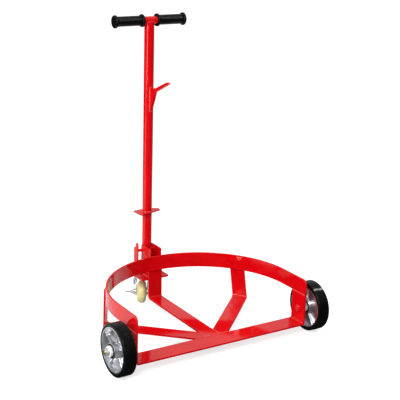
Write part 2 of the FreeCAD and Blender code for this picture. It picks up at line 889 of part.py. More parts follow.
grip_bore = d.crossbar_radius + d.running_fit
inner_flange_end = d.grip_inner_end + d.grip_flange_width
outer_flange_start = grip_outer_end - d.grip_flange_width
for side in ("left", "right"):
    grip = turned(f"{side}_grip", [
        (d.grip_inner_end, grip_bore),
        (d.grip_inner_end, d.grip_flange_radius, d.grip_flange_round),
        (inner_flange_end, d.grip_flange_radius, d.grip_flange_round),
        (inner_flange_end, d.grip_radius),
        (outer_flange_start, d.grip_radius),
        (outer_flange_start, d.grip_flange_radius, d.grip_flange_round),
        (grip_outer_end, d.grip_flange_radius, d.grip_flange_round),
        (grip_outer_end, ZERO),
        (crossbar_half, ZERO),
        (crossbar_half, grip_bore),
    ])
    if side == "left":
        aim(grip, Z_AXIS, HALF_TURN)
    nodes.append(place(grip, y=tube_y, z=d.crossbar_height))


# Hook plate on the front of the tube: a gusset, a short shelf and a prong that slants up

tube_front = tube_y - d.tube_radius
shelf_end = tube_front - d.hook_shelf_depth
prong_tip = tube_front - d.hook_prong_reach
prong_root = shelf_end - d.hook_prong_reach * HOOK_ROOT_SHARE / 2
gusset_drop = d.hook_shelf - d.hook_prong_depth - d.hook_bottom
gusset_reach = tube_front - prong_root
hook_blank = padded("hook_blank", "YZ_Plane", [
    (tube_front + d.overrun, d.hook_bottom),
    (tube_front + d.overrun, d.hook_shelf),
    (shelf_end, d.hook_shelf),
    (prong_tip, d.hook_shelf + d.hook_prong_rise),
    (prong_tip - d.hook_end_reach, d.hook_shelf + d.hook_prong_rise - d.hook_end_drop),
    (prong_root, d.hook_shelf - d.hook_prong_depth),
    (tube_front - gusset_reach * GUSSET_SHARES[0][0], d.hook_bottom + gusset_drop * GUSSET_SHARES[0][1]),
    (tube_front - gusset_reach * GUSSET_SHARES[1][0], d.hook_bottom + gusset_drop * GUSSET_SHARES[1][1]),
], d.hook_thick)
place(hook_blank, x=-d.hook_thick / 2)
hook_cope = cylinder("hook_cope", d.tube_radius, d.hook_shelf - d.hook_bottom + d.overrun * 2)
place(hook_cope, y=tube_y, z=d.hook_bottom - d.overrun)
nodes.append(cut("hook_plate", hook_blank, hook_cope))


# Foot pedal: a plate welded round the tube

pedal_blank = padded("pedal_blank", "XY_Plane", [
    (d.pedal_width * across, tube_y + d.pedal_depth * along) for across, along in PEDAL_SHARES
], d.pedal_thick)
place(pedal_blank, z=d.pedal_height)
pedal_hole = cylinder("pedal_hole", d.tube_radius + d.running_fit, d.pedal_thick + d.overrun * 2)
place(pedal_hole, y=tube_y, z=d.pedal_height - d.overrun)
nodes.append(cut("foot_pedal", pedal_blank, pedal_hole))


# Handle lock: a cross shaft with a flat, a lever on its left end and a nut on its right end

lever_face = -d.lock_lever_offset
shaft_start = lever_face - d.lock_lever_thick
nut_start = cheek_outer + d.running_gap
shaft_end = nut_start + d.lock_nut_height + d.lock_shaft_tip
shaft_round = turned("lock_shaft_round", [
    (shaft_start, ZERO),
    (shaft_start, d.lock_shaft_radius),
    (shaft_end, d.lock_shaft_radius),
    (shaft_end, ZERO),
])
place(shaft_round, y=shaft_y, z=shaft_z)
shaft_flat = box("lock_shaft_flat", d.lock_flat_length, d.lock_flat_depth, d.lock_shaft_radius * 2)
place(shaft_flat, x=-d.lock_flat_length / 2,
      y=shaft_y + d.lock_shaft_radius - d.lock_flat_depth, z=shaft_z - d.lock_shaft_radius)
nodes.append(cut("lock_shaft", shaft_round, shaft_flat))

lever_front = shaft_y - d.lock_lever_front
lever_rear = lever_front + d.lock_lever_width
tongue_rear = lever_front + d.lock_tongue_width
lever_top = shaft_z + d.lock_lever_above
tongue_top = lever_top + d.lock_tongue_height
lever_bottom = shaft_z - d.lock_lever_below
lever_blank = padded("lock_lever_blank", "YZ_Plane", [
    (lever_front, lever_bottom, d.lock_lever_corner),
    (lever_rear, lever_bottom, d.lock_lever_corner),
    (lever_rear, lever_top, d.lock_lever_corner),
    (tongue_rear, lever_top),
    (tongue_rear, tongue_top, d.lock_tongue_width / 2),
    (lever_front, tongue_top, d.lock_tongue_width / 2),
], d.lock_lever_thick)
place(lever_blank, x=shaft_start)
lever_hole = aim(cylinder("lock_lever_hole", d.lock_shaft_radius + d.running_fit,
                          d.lock_lever_thick + d.overrun * 2), Y_AXIS, QUARTER_TURN)
place(lever_hole, x=shaft_start - d.overrun, y=shaft_y, z=shaft_z)
nodes.append(cut("lock_lever", lever_blank, lever_hole))
lock_nut = hex_nut("lock_nut", d.lock_nut_flats, d.lock_nut_height,
                   d.lock_shaft_radius + d.running_fit)
nodes.append(place(lock_nut, x=nut_start, y=shaft_y, z=shaft_z))


# Caster: a top plate bolted under the base plate, and a fork that swivels on a ball race

caster_y = ring_outer + d.caster_setback
top_plate_bottom = d.base_plate_bottom - d.top_plate_thick
crown_top = top_plate_bottom - d.ball_radius * 2
crown_bottom = crown_top - d.fork_crown_thick


def in_caster(item):
    """Places a piece of the swivelling caster: its Y runs along the trail from the swivel axis."""
    item.Placement = FreeCAD.Placement(
        FreeCAD.Vector(), FreeCAD.Rotation(-Z_AXIS, HALF_TURN + d.caster_turn_degrees.value))
    bind(item, "Placement.Rotation.Angle", d.caster_turn_degrees + HALF_TURN)
    return place(item, y=caster_y)


def mount_places():
    """The four bolts of the caster's top plate."""
    for column in (-1, 1):
        for line in (-1, 1):
            yield d.mount_bolt_across * column / 2, caster_y + d.mount_bolt_along * line / 2


def mount_drills(label):
    drills = []
    for number, (x, y) in enumerate(mount_places()):
        drill = cylinder(f"{label}_{number}", d.mount_bolt_radius + d.running_fit,
                         d.base_plate_thick + d.top_plate_thick + d.overrun * 2)
        drills.append(place(drill, x, y, top_plate_bottom - d.overrun))
    return drills


nodes.append(cut("caster_base_plate", base_plate_blank, *mount_drills("base_plate_drill")))

top_plate_blank = padded("top_plate_blank", "XY_Plane", [
    (-d.top_plate_width / 2, -d.top_plate_length / 2, d.top_plate_corner),
    (d.top_plate_width / 2, -d.top_plate_length / 2, d.top_plate_corner),
    (d.top_plate_width / 2, d.top_plate_length / 2, d.top_plate_corner),
    (-d.top_plate_width / 2, d.top_plate_length / 2, d.top_plate_corner),
], d.top_plate_thick)
place(top_plate_blank, y=caster_y, z=top_plate_bottom)
kingpin_hole = cylinder("kingpin_hole", d.kingpin_radius + d.running_fit,
                        d.top_plate_thick + d.overrun * 2)
place(kingpin_hole, y=caster_y, z=top_plate_bottom - d.overrun)
nodes.append(cut("caster_top_plate", top_plate_blank, kingpin_hole, *mount_drills("top_plate_drill")))

bolts, nuts = [], []
bolt_tail = top_plate_bottom - d.mount_nut_height - d.mount_bolt_tip
for number, (x, y) in enumerate(mount_places()):
    head = hex_prism(f"mount_head_{number}", d.mount_bolt_flats, d.mount_head_height)
    spot(head, z=plate_top - bolt_tail)
    shank = cylinder(f"mount_shank_{number}", d.mount_bolt_radius, plate_top - bolt_tail)
    bolts.append(place(joined(f"mount_bolt_{number}", head, shank), x, y, bolt_tail))
    block = hex_prism(f"mount_nut_block_{number}", d.mount_bolt_flats, d.mount_nut_height)
    hole = cylinder(f"mount_nut_hole_{number}", d.mount_bolt_radius + d.running_fit,
                    d.mount_nut_height + d.overrun * 2)
    spot(hole, z=-d.overrun)
    nuts.append(place(cut(f"mount_nut_{number}", block, hole), x, y, top_plate_bottom - d.mount_nut_height))
nodes.append(group("caster_mount_bolts", *bolts))
nodes.append(group("caster_mount_nuts", *nuts))

balls = []
for number in range(int(d.ball_count.value)):
    degrees = as_size(FULL_TURN * number / d.ball_count.value)
    ball = doc.addObject("Part::Sphere", f"ball_{number}")
    bind(ball, "Radius", d.ball_radius - d.running_fit)
    balls.append(place(ball, d.ball_circle_radius * cosine(degrees),
                       caster_y + d.ball_circle_radius * sine(degrees),
                       top_plate_bottom - d.ball_radius))
nodes.append(group("swivel_balls", *balls))

kingpin_low = crown_bottom - d.running_gap - d.kingpin_head_thick
kingpin = turned("caster_kingpin", [
    (ZERO, kingpin_low),
    (d.kingpin_head_radius, kingpin_low),
    (d.kingpin_head_radius, crown_bottom - d.running_gap),
    (d.kingpin_radius, crown_bottom - d.running_gap),
    (d.kingpin_radius, d.base_plate_bottom),
    (ZERO, d.base_plate_bottom),
], "XZ_Plane", "V_Axis")
nodes.append(place(kingpin, y=caster_y))


# Fork: sheet bent to an upside-down U, trimmed to taper from the crown to the axle eyes

fork_half = d.fork_gap / 2 + d.fork_thick
crown_half = d.fork_crown_half_width
flare_low = crown_top - d.fork_flare_rise
fork_low = d.caster_wheel_radius - d.fork_eye_radius
fork_length = d.caster_trail + d.fork_eye_radius + d.fork_crown_half_length
channel = padded("fork_channel", "XZ_Plane", [
    (-fork_half, fork_low),
    (-fork_half, flare_low),
    (-crown_half, crown_top, d.fork_bend),
    (crown_half, crown_top, d.fork_bend),
    (fork_half, flare_low),
    (fork_half, fork_low),
    (d.fork_gap / 2, fork_low),
    (d.fork_gap / 2, flare_low),
    (crown_half - d.fork_thick, crown_bottom, d.fork_bend - d.fork_thick),
    (-crown_half + d.fork_thick, crown_bottom, d.fork_bend - d.fork_thick),
    (-d.fork_gap / 2, flare_low),
    (-d.fork_gap / 2, fork_low),
], fork_length)
spot(channel, y=d.caster_trail + d.fork_eye_radius)
skirt_low = crown_top - d.fork_skirt
taper = padded("fork_taper", "YZ_Plane", [
    (-d.fork_crown_half_length, crown_top),
    (-d.fork_crown_half_length, skirt_low),
    (d.caster_trail - d.fork_eye_radius, d.caster_wheel_radius),
    (d.caster_trail, d.caster_wheel_radius - d.fork_eye_radius / 2),
    (d.caster_trail + d.fork_eye_radius, d.caster_wheel_radius),
    (d.fork_crown_half_length, skirt_low),
    (d.fork_crown_half_length, crown_top),
], crown_half * 2)
spot(taper, x=-crown_half)
eye = aim(cylinder("fork_eye", d.fork_eye_radius, fork_half * 2), Y_AXIS, QUARTER_TURN)
spot(eye, -fork_half, d.caster_trail, d.caster_wheel_radius)
fork_common = doc.addObject("Part::Common", "fork_bent")
fork_common.Base = channel
fork_common.Tool = joined("fork_side", taper, eye)
axle_hole = aim(cylinder("fork_axle_hole", d.caster_axle_radius + d.running_fit,
                         (fork_half + d.overrun) * 2), Y_AXIS, QUARTER_TURN)
spot(axle_hole, -fork_half - d.overrun, d.caster_trail, d.caster_wheel_radius)
swivel_hole = cylinder("fork_swivel_hole", d.kingpin_radius + d.running_fit,
                       d.fork_crown_thick + d.overrun * 2)
spot(swivel_hole, z=crown_bottom - d.overrun)
lug = box("fork_lug", d.fork_lug_width, d.fork_thick, d.fork_lug_height)
spot(lug, d.fork_gap / 2, d.fork_crown_half_length - d.fork_thick, d.fork_lug_low)
fork_blank = joined("fork_blank", fork_common, lug)
nodes.append(in_caster(cut("caster_fork", fork_blank, axle_hole, swivel_hole)))


# Caster wheel on its bush, the axle bolt and the side brake's lever

def on_caster_axle(item):
    """Moves an item's own X axis to the caster's axle."""
    return spot(item, y=d.caster_trail, z=d.caster_wheel_radius)


def caster_piece(label, item):
    """Carries a finished item on the caster's axle into the caster."""
    on_caster_axle(item)
    piece = group(label, item)
    return in_caster(piece)


tread_half = d.caster_tread_width / 2
hub_half = d.caster_hub_width / 2
dish_face = tread_half - d.caster_side_dish
rim_low = d.caster_wheel_radius - d.caster_rim_width
nodes.append(caster_piece("caster_wheel", turned("caster_wheel_turned", [
    (-hub_half, d.caster_bush_radius),
    (-hub_half, d.caster_hub_radius),
    (-dish_face, d.caster_hub_radius),
    (-dish_face, rim_low - d.caster_tread_round / 2),
    (-tread_half, rim_low - d.caster_tread_round / 2),
    (-tread_half, d.caster_wheel_radius, d.caster_tread_round),
    (tread_half, d.caster_wheel_radius, d.caster_tread_round),
    (tread_half, rim_low - d.caster_tread_round / 2),
    (dish_face, rim_low - d.caster_tread_round / 2),
    (dish_face, d.caster_hub_radius),
    (hub_half, d.caster_hub_radius),
    (hub_half, d.caster_bush_radius),
])))
bush_half = d.fork_gap / 2 - d.running_gap
nodes.append(caster_piece("caster_wheel_bush", turned("caster_bush_turned", ring_corners(
    -bush_half, bush_half, d.caster_axle_radius + d.running_fit, d.caster_bush_radius))))

brake_start = fork_half + d.running_gap
brake_end = brake_start + d.brake_hub_width
nut_from = brake_end + d.running_gap
nut_to = nut_from + d.caster_nut_height
axle_shank = turned("caster_axle_shank", [
    (-fork_half, ZERO),
    (-fork_half, d.caster_axle_radius),
    (nut_to + d.caster_bolt_tip, d.caster_axle_radius),
    (nut_to + d.caster_bolt_tip, ZERO),
])
axle_head = aim(hex_prism("caster_axle_head", d.caster_nut_flats, d.caster_head_height), Y_AXIS, QUARTER_TURN)
spot(axle_head, x=-fork_half - d.caster_head_height)
nodes.append(caster_piece("caster_axle", joined("caster_axle_bolt", axle_shank, axle_head)))
caster_nut = hex_nut("caster_axle_nut_turned", d.caster_nut_flats, d.caster_nut_height,
                     d.caster_axle_radius + d.running_fit)
nut_seat = group("caster_axle_nut_seat", caster_nut)
spot(caster_nut, x=nut_from)
nodes.append(caster_piece("caster_axle_nut", nut_seat))

brake_hub = turned("brake_hub", ring_corners(
    brake_start, brake_end, d.caster_axle_radius + d.running_fit, d.brake_hub_radius))
tab_end = brake_start + d.brake_tab_reach
brake_tab = padded("brake_tab", "XY_Plane", [
    (brake_start, -d.brake_tab_setback),
    (brake_start, -d.brake_tab_setback - d.brake_tab_width),
    (tab_end, -d.brake_tab_setback - d.brake_tab_tip),
    (tab_end, -d.brake_tab_setback),
], d.brake_tab_thick)
spot(brake_tab, z=-d.brake_tab_drop)
nodes.append(caster_piece("caster_brake_lever", joined("brake_lever_bent", brake_hub, brake_tab)))


# Every object has to be sound before its piece is written

doc.recompute()
for item in doc.Objects:
    faults = [state for state in item.State if state in ("Invalid", "Error")]
    if faults:
        raise RuntimeError(f"{item.Label} is {faults}")
os.makedirs("parts", exist_ok=True)
for node in nodes:
    shape = node.Shape
    if shape.isNull() or not shape.isValid() or not shape.Solids:
        raise RuntimeError(f"{node.Label} has no sound shape")
    shape.exportStep(f"parts/{node.Label}.step")
    corners = shape.BoundBox
    print(f"{node.Label}: {len(shape.Solids)} solid(s), {shape.Volume:.0f} mm3, "
          f"x {corners.XMin:.1f} to {corners.XMax:.1f}, y {corners.YMin:.1f} to {corners.YMax:.1f}, "
          f"z {corners.ZMin:.1f} to {corners.ZMax:.1f}")
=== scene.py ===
import json
import math

import bmesh
import bpy
from mathutils import Matrix, Vector


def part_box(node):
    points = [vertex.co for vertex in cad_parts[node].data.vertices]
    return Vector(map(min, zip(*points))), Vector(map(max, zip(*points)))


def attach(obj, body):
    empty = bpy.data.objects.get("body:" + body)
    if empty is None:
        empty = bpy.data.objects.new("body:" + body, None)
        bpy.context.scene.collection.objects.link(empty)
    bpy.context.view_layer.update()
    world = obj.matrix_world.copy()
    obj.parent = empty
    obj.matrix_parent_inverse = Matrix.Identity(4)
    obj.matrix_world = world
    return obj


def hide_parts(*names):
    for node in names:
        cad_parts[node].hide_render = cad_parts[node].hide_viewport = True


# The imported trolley. All lengths are in metres, +Y points to the rear and +Z up.

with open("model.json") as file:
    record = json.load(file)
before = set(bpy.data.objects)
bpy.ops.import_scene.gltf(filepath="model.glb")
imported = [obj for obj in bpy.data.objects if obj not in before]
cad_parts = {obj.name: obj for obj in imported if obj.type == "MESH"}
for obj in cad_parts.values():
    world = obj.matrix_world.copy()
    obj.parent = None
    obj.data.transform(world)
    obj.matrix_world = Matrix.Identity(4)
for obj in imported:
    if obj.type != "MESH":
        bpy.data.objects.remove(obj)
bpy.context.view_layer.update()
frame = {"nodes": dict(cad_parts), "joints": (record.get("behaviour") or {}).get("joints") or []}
nodes = frame["nodes"]


# Ring band: a flat bar rolled to a half circle, open at the front, that holds the load's foot.
# Hot rolled steel with edges rounded by the mill, shot blasted and powder coated red.

MILL_EDGE = 0.0012
MILL_EDGE_STEPS = 3
PLAIN_EDGE_STEPS = 2
ROUND_PROFILE = 0.5
SAME_POINT = 0.000001
FLAT_ANGLE = math.radians(0.4)
SHARP_ANGLE = math.radians(33)
CREASE_ANGLE = math.radians(40)
COAT_TONES = ((0.57, 0.0008, 0.003), (0.66, 0.0012, 0.004))
COAT_CLOUDS_PER_METRE = 14
COAT_PEEL_PER_METRE = 320
COAT_PEEL_HEIGHT = 0.00003
COAT_GLOSS = (0.06, 0.10)
COAT_SHINE = 0.45
TONE_DETAIL = 3.0
FINE_DETAIL = 2.0
TONE_NOISE = (0.32, 0.68)
GLOSS_NOISE = (0.3, 0.7)
GLOSS_CLOUD_RATIO = 2


def new_finish(name):
    """An empty node finish and its main shader."""
    finish = bpy.data.materials.new(name)
    finish.use_nodes = True
    return finish, finish.node_tree.nodes["Principled BSDF"]


def add_node(owner, kind, **values):
    """Adds a node to a finish, or to the studio's dome, and sets its inputs by name."""
    node = owner.node_tree.nodes.new(kind)
    for name, value in values.items():
        node.inputs[name.replace("_", " ")].default_value = value
    return node


def link(owner, source, target):
    """Links two sockets of a finish or of the dome."""
    owner.node_tree.links.new(source, target)


def clouds(finish, per_metre, detail=FINE_DETAIL):
    """Soft noise that stays with the piece, at so many clouds per metre."""
    place = add_node(finish, "ShaderNodeTexCoord")
    noise = add_node(finish, "ShaderNodeTexNoise", Scale=per_metre, Detail=detail)
    link(finish, place.outputs["Object"], noise.inputs["Vector"])
    return noise.outputs["Fac"]


def colour_in_clouds(finish, shader, noise, *colours):
    """Spreads colours over a noise and feeds them to the shader."""
    ramp = add_node(finish, "ShaderNodeValToRGB")
    stops = ramp.color_ramp.elements
    first, last = TONE_NOISE
    stops[0].position = first
    stops[1].position = last
    for number in range(1, len(colours) - 1):
        stops.new(first + (last - first) * number / (len(colours) - 1))
    for stop, colour in zip(stops, colours):
        stop.color = (*colour, 1)
    link(finish, noise, ramp.inputs["Fac"])
    link(finish, ramp.outputs["Color"], shader.inputs["Base Color"])


def gloss_in_clouds(finish, shader, noise, low, high):
    """Varies the roughness between two values."""
    first, last = GLOSS_NOISE
    spread = add_node(finish, "ShaderNodeMapRange", From_Min=first, From_Max=last, To_Min=low, To_Max=high)
    link(finish, noise, spread.inputs["Value"])
    link(finish, spread.outputs["Result"], shader.inputs["Roughness"])


def uneven(finish, shader, noise, height):
    """Lifts the surface by a noise."""
    bump = add_node(finish, "ShaderNodeBump", Strength=1, Distance=height)
    link(finish, noise, bump.inputs["Height"])
    link(finish, bump.outputs["Normal"], shader.inputs["Normal"])


def surface(name, tones, gloss, clouds_per_metre, grain_per_metre, grain_height, **fixed):
    """A finish with clouded tones and gloss, a fine grain and any fixed values of the shader."""
    finish, shader = new_finish(name)
    colour_in_clouds(finish, shader, clouds(finish, clouds_per_metre, TONE_DETAIL), *tones)
    gloss_in_clouds(finish, shader, clouds(finish, clouds_per_metre * GLOSS_CLOUD_RATIO), *gloss)
    uneven(finish, shader, clouds(finish, grain_per_metre), grain_height)
    for socket, value in fixed.items():
        shader.inputs[socket.replace("_", " ")].default_value = value
    return finish


def as_piece(name, form, finish):
    """Makes a finished object of a mesh: smooth, with its hard edges kept and its flats flat."""
    bmesh.ops.recalc_face_normals(form, faces=form.faces)
    for face in form.faces:
        face.smooth = True
    for edge in form.edges:
        edge.smooth = edge.calc_face_angle(0) < CREASE_ANGLE
    mesh = bpy.data.meshes.new(name)
    form.to_mesh(mesh)
    form.free()
    piece = bpy.data.objects.new(name, mesh)
    bpy.context.scene.collection.objects.link(piece)
    piece.data.materials.append(finish)
    flats = piece.modifiers.new("flat_faces", "WEIGHTED_NORMAL")
    flats.keep_sharp = True
    return piece


def rounded_copy(node, edge_radius, finish, steps=PLAIN_EDGE_STEPS):
    """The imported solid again, with its sharp edges rounded."""
    form = bmesh.new()
    form.from_mesh(nodes[node].data)
    bmesh.ops.remove_doubles(form, verts=form.verts, dist=SAME_POINT)
    bmesh.ops.dissolve_limit(form, angle_limit=FLAT_ANGLE, verts=form.verts, edges=form.edges)
    sharp = [edge for edge in form.edges if edge.calc_face_angle(0) > SHARP_ANGLE]
    bmesh.ops.bevel(form, geom=sharp, offset=edge_radius, offset_type="OFFSET", segments=steps,
                    profile=ROUND_PROFILE, affect="EDGES", clamp_overlap=True)
    return as_piece(f"{node}_finished", form, finish)


red_coat = surface("red_powder_coat", COAT_TONES, COAT_GLOSS, COAT_CLOUDS_PER_METRE, COAT_PEEL_PER_METRE,
                   COAT_PEEL_HEIGHT, Specular_IOR_Level=COAT_SHINE)
band = rounded_copy("ring_band", MILL_EDGE, red_coat, MILL_EDGE_STEPS)
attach(band, "chassis")
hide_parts("ring_band")


# Front bar and legs: wider flat bars, bent cold in a press and welded to a star on the floor side.
# The front bar's ends stand up to carry the axles, and the legs' posts lap the ring's outside.

for node in ("front_bar", "rear_leg", "right_leg", "left_leg"):
    bar = rounded_copy(node, MILL_EDGE, red_coat, MILL_EDGE_STEPS)
    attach(bar, "chassis")
    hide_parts(node)


# Frame welds: ripple beads where the bars, posts and plates meet, laid by hand and coated over.
# They run along the ring's ends, the star of feet, the posts and the bracket.

BAR_THICK = 0.006
TOUCHING = BAR_THICK / 4
SAME_LEVEL = BAR_THICK / 8
SEAM_BEAD = 0.0017
FILLET_BEAD = 0.0026
PLUG_BEAD = 0.0021
PLUG_RINGS = 4
PLUG_RISE = 0.0006
# The welds' tone is paler and pinker than the frame's coat: painted highlight on the ripples.
WELD_TONES_PAINTED_HIGHLIGHT = ((0.62, 0.012, 0.014), (0.72, 0.09, 0.08))
WELD_GLOSS = (0.14, 0.26)
RIPPLE_LENGTH_SHARE = 1.3
RIPPLE_DEPTH_SHARE = 0.22
STEPS_PER_RIPPLE = 4
BEAD_SIDES = 10
BEAD_END_SHARE = 0.15
UPRIGHT_SHARE = 0.99
CIRCLE_POINTS = 28


def walk(path, step, closed):
    """Evenly spaced points on a run of straight lines, with the direction at each."""
    corners = [Vector(point) for point in path]
    if closed:
        corners.append(corners[0])
    lengths = [(far - near).length for near, far in zip(corners, corners[1:])]
    count = round(sum(lengths) / step)
    stations = []
    for number in range(count if closed else count + 1):
        left = sum(lengths) * number / count
        leg = 0
        while leg < len(lengths) - 1 and left > lengths[leg]:
            left -= lengths[leg]
            leg += 1
        along = (corners[leg + 1] - corners[leg]).normalized()
        stations.append((corners[leg] + along * left, along))
    return stations


def across(axis):
    """An axis as a direction, and two directions square to it."""
    axis = Vector(axis).normalized()
    side = axis.orthogonal().normalized()
    return axis, side, axis.cross(side)


def even_turns(count):
    """The angles of evenly spaced points on a circle."""
    return [2 * math.pi * number / count for number in range(count)]


def spoke(side, up, turn):
    """The direction at an angle between two square directions."""
    return side * math.cos(turn) + up * math.sin(turn)


def circle(centre, axis, radius, count=CIRCLE_POINTS):
    """Points round an axis."""
    side, up = across(axis)[1:]
    return [Vector(centre) + spoke(side, up, turn) * radius for turn in even_turns(count)]


def join_rings(form, rings, closed=False):
    """Skins rings of points one after another, then joins the last to the first or covers both ends."""
    pairs = list(zip(rings, rings[1:]))
    if closed:
        pairs.append((rings[-1], rings[0]))
    for near, far in pairs:
        for step in range(len(near)):
            after = (step + 1) % len(near)
            form.faces.new((near[step], near[after], far[after], far[step]))
    if not closed:
        form.faces.new(rings[0])
        form.faces.new(rings[-1])


def add_bead(form, path, radius, closed=False):
    """Adds a weld bead along a path: overlapping ripples, rounded off at the ends."""
    stations = walk(path, radius * RIPPLE_LENGTH_SHARE / STEPS_PER_RIPPLE, closed)
    turns = even_turns(BEAD_SIDES)
    rings = []
    for number, (point, along) in enumerate(stations):
        ripple = abs(math.sin(math.pi * number / STEPS_PER_RIPPLE))
        size = radius * (1 - RIPPLE_DEPTH_SHARE * (1 - ripple))
        if not closed:
            to_end = min(number, len(stations) - 1 - number) / STEPS_PER_RIPPLE
            size *= math.sqrt(min(1, BEAD_END_SHARE + to_end))
        side = along.orthogonal().normalized()
        if abs(along.z) < UPRIGHT_SHARE:
            side = along.cross(Vector((0, 0, 1))).normalized()
        up = side.cross(along)
        rings.append([form.verts.new(point + spoke(side, up, turn) * size) for turn in turns])
    join_rings(form, rings, closed)


def mirrored(path):
    """The same path on the trolley's other side."""
    return [Vector((-point[0], point[1], point[2])) for point in path]


front_low, front_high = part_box("front_bar")
rear_low, rear_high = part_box("rear_leg")
band_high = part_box("ring_band")[1]
plate_low, plate_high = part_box("caster_base_plate")
cheek_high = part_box("right_cheek")[1]
leg_points = [vertex.co for vertex in nodes["right_leg"].data.vertices]
ring_centre = Vector((0, band_high.y - band_high.x, 0))
bar_top = front_low.z + BAR_THICK
tab_inside = front_high.x - BAR_THICK
foot_right = max(point.x for point in leg_points if point.y < front_high.y + TOUCHING)
foot_back = max(point.y for point in leg_points if point.x < rear_high.x + TOUCHING)


def from_ring_centre(point):
    """How far a point lies from the ring's axis."""
    return math.hypot(point.x, point.y - ring_centre.y)


def inner_pair(height):
    """The two corners of the right post's inner face at a height."""
    level = [point for point in leg_points if abs(point.z - height) < SAME_LEVEL]
    inner = min(from_ring_centre(point) for point in level)
    face = [point for point in level if from_ring_centre(point) < inner + BAR_THICK / 2]
    return min(face, key=lambda point: point.x), max(face, key=lambda point: point.x)


# The welds' coat is the frame's red made paler, as painted highlight on the ripples.
weld_coat_painted_highlight = surface("coated_weld_painted_highlight", WELD_TONES_PAINTED_HIGHLIGHT, WELD_GLOSS, COAT_PEEL_PER_METRE, COAT_PEEL_PER_METRE,
                    COAT_PEEL_HEIGHT, Specular_IOR_Level=COAT_SHINE)
weld_form = bmesh.new()
right_seams = [
    ([(tab_inside, front_low.y, front_high.z), (tab_inside, front_high.y, front_high.z)], SEAM_BEAD),
    ([(front_high.x, front_low.y, front_high.z), (front_high.x, front_high.y, front_high.z)], SEAM_BEAD),
    ([(rear_high.x, front_high.y, bar_top), (foot_right, front_high.y, bar_top)], SEAM_BEAD),
    ([(rear_high.x, front_high.y, bar_top), (rear_high.x, foot_back, bar_top)], SEAM_BEAD),
    ([(cheek_high.x, rear_high.y, plate_high.z), (cheek_high.x, cheek_high.y, plate_high.z)], FILLET_BEAD),
    ([(cheek_high.x, band_high.y, rear_high.z), (cheek_high.x, band_high.y, band_high.z)], FILLET_BEAD),
    (inner_pair(rear_high.z), FILLET_BEAD),
]
for path, bead in right_seams:
    add_bead(weld_form, path, bead)
    add_bead(weld_form, mirrored(path), bead)
add_bead(weld_form, [(rear_low.x, front_high.y, bar_top), (rear_high.x, front_high.y, bar_top)], SEAM_BEAD)
for height in (plate_low.z, plate_high.z):
    add_bead(weld_form, [(rear_low.x, rear_high.y, height), (rear_high.x, rear_high.y, height)], FILLET_BEAD)
axle_low, axle_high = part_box("right_axle")
axle_middle = (axle_low + axle_high) / 2
axle_radius = (axle_high.y - axle_low.y) / 2
plug_form = bmesh.new()
for side in (-1, 1):
    for number in range(PLUG_RINGS + 1):
        plug = circle((side * (tab_inside - PLUG_RISE), axle_middle.y, axle_middle.z), (1, 0, 0),
                      PLUG_BEAD / 2 + (axle_radius + PLUG_BEAD / 2) * number / PLUG_RINGS)
        add_bead(plug_form, plug, PLUG_BEAD, closed=True)
frame_welds = as_piece("frame_welds", weld_form, weld_coat_painted_highlight)
axle_plugs = as_piece("axle_plugs", plug_form, red_coat)
for welds in (frame_welds, axle_plugs):
    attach(welds, "chassis")


# Rear bracket: the caster's base plate with two cheek plates on it and a pin that ties them.
# Plates cut from sheet, welded to the rear post and the ring, coated with the frame.

PLATE_EDGE = 0.0007
PLATE_GLOSS = (0.22, 0.30)
PLATE_SHINE = 0.3

plate_coat = surface("coated_plate", COAT_TONES, PLATE_GLOSS, COAT_CLOUDS_PER_METRE, COAT_PEEL_PER_METRE,
                     COAT_PEEL_HEIGHT, Specular_IOR_Level=PLATE_SHINE)
for node in ("caster_base_plate", "left_cheek", "right_cheek", "tie_pin"):
    plate = rounded_copy(node, PLATE_EDGE, plate_coat)
    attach(plate, "chassis")
    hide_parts(node)


# Pivot bolt: the hex bolt that the handle tilts on, with two washers and a locking nut.
# Forged steel, zinc plated to a cool, slightly clouded silver.

PIVOT_RADIUS = 0.006
PIVOT_FLATS = 0.019
PIVOT_PITCH = 0.00175
FASTENER_EASE = 0.0004
ZINC_TONES = ((0.52, 0.55, 0.61), (0.64, 0.67, 0.72), (0.68, 0.69, 0.70))
ZINC_CLOUDS_PER_METRE = 55
ZINC_GRAIN_PER_METRE = 900
ZINC_GRAIN_HEIGHT = 0.00004
ZINC_GLOSS = (0.22, 0.34)
ZINC_METALLIC = 0.6
HEX_CHAMFER_SHARE = 0.94
HEX_CHAMFER_SLOPE = math.tan(math.radians(30))
HEX_MIDDLE_SHARE = 0.05
HEX_POINTS = 48
HAIR_TURN = 0.000000001
THREAD_STEPS = 6
THREAD_SIDES = 28
THREAD_DEPTH_SHARE = 0.55
TURNED_SIDES = 56
ON_AXIS = 0.0000001
EASE_SIDE_SHARE = 0.4


def add_turned(form, start, axis, profile, sides=TURNED_SIDES):
    """Adds a turned shape: a closed outline of (along, radius), or one that starts and ends on the axis."""
    axis, side, up = across(axis)
    turns = even_turns(sides)
    rings = []
    for along, radius in profile:
        middle = Vector(start) + axis * along
        if radius < ON_AXIS:
            rings.append([form.verts.new(middle)])
        else:
            rings.append([form.verts.new(middle + spoke(side, up, turn) * radius) for turn in turns])
    pairs = list(zip(rings, rings[1:]))
    if len(rings[0]) > 1:
        pairs.append((rings[-1], rings[0]))
    for near, far in pairs:
        for step in range(sides):
            after = (step + 1) % sides
            corners = [near[step % len(near)], near[after % len(near)],
                       far[after % len(far)], far[step % len(far)]]
            face = [corner for place, corner in enumerate(corners) if corner not in corners[:place]]
            form.faces.new(face)


def add_rod(form, start, axis, length, radius):
    """Adds a plain round rod."""
    add_turned(form, start, axis, [(0, 0), (0, radius), (length, radius), (length, 0)])


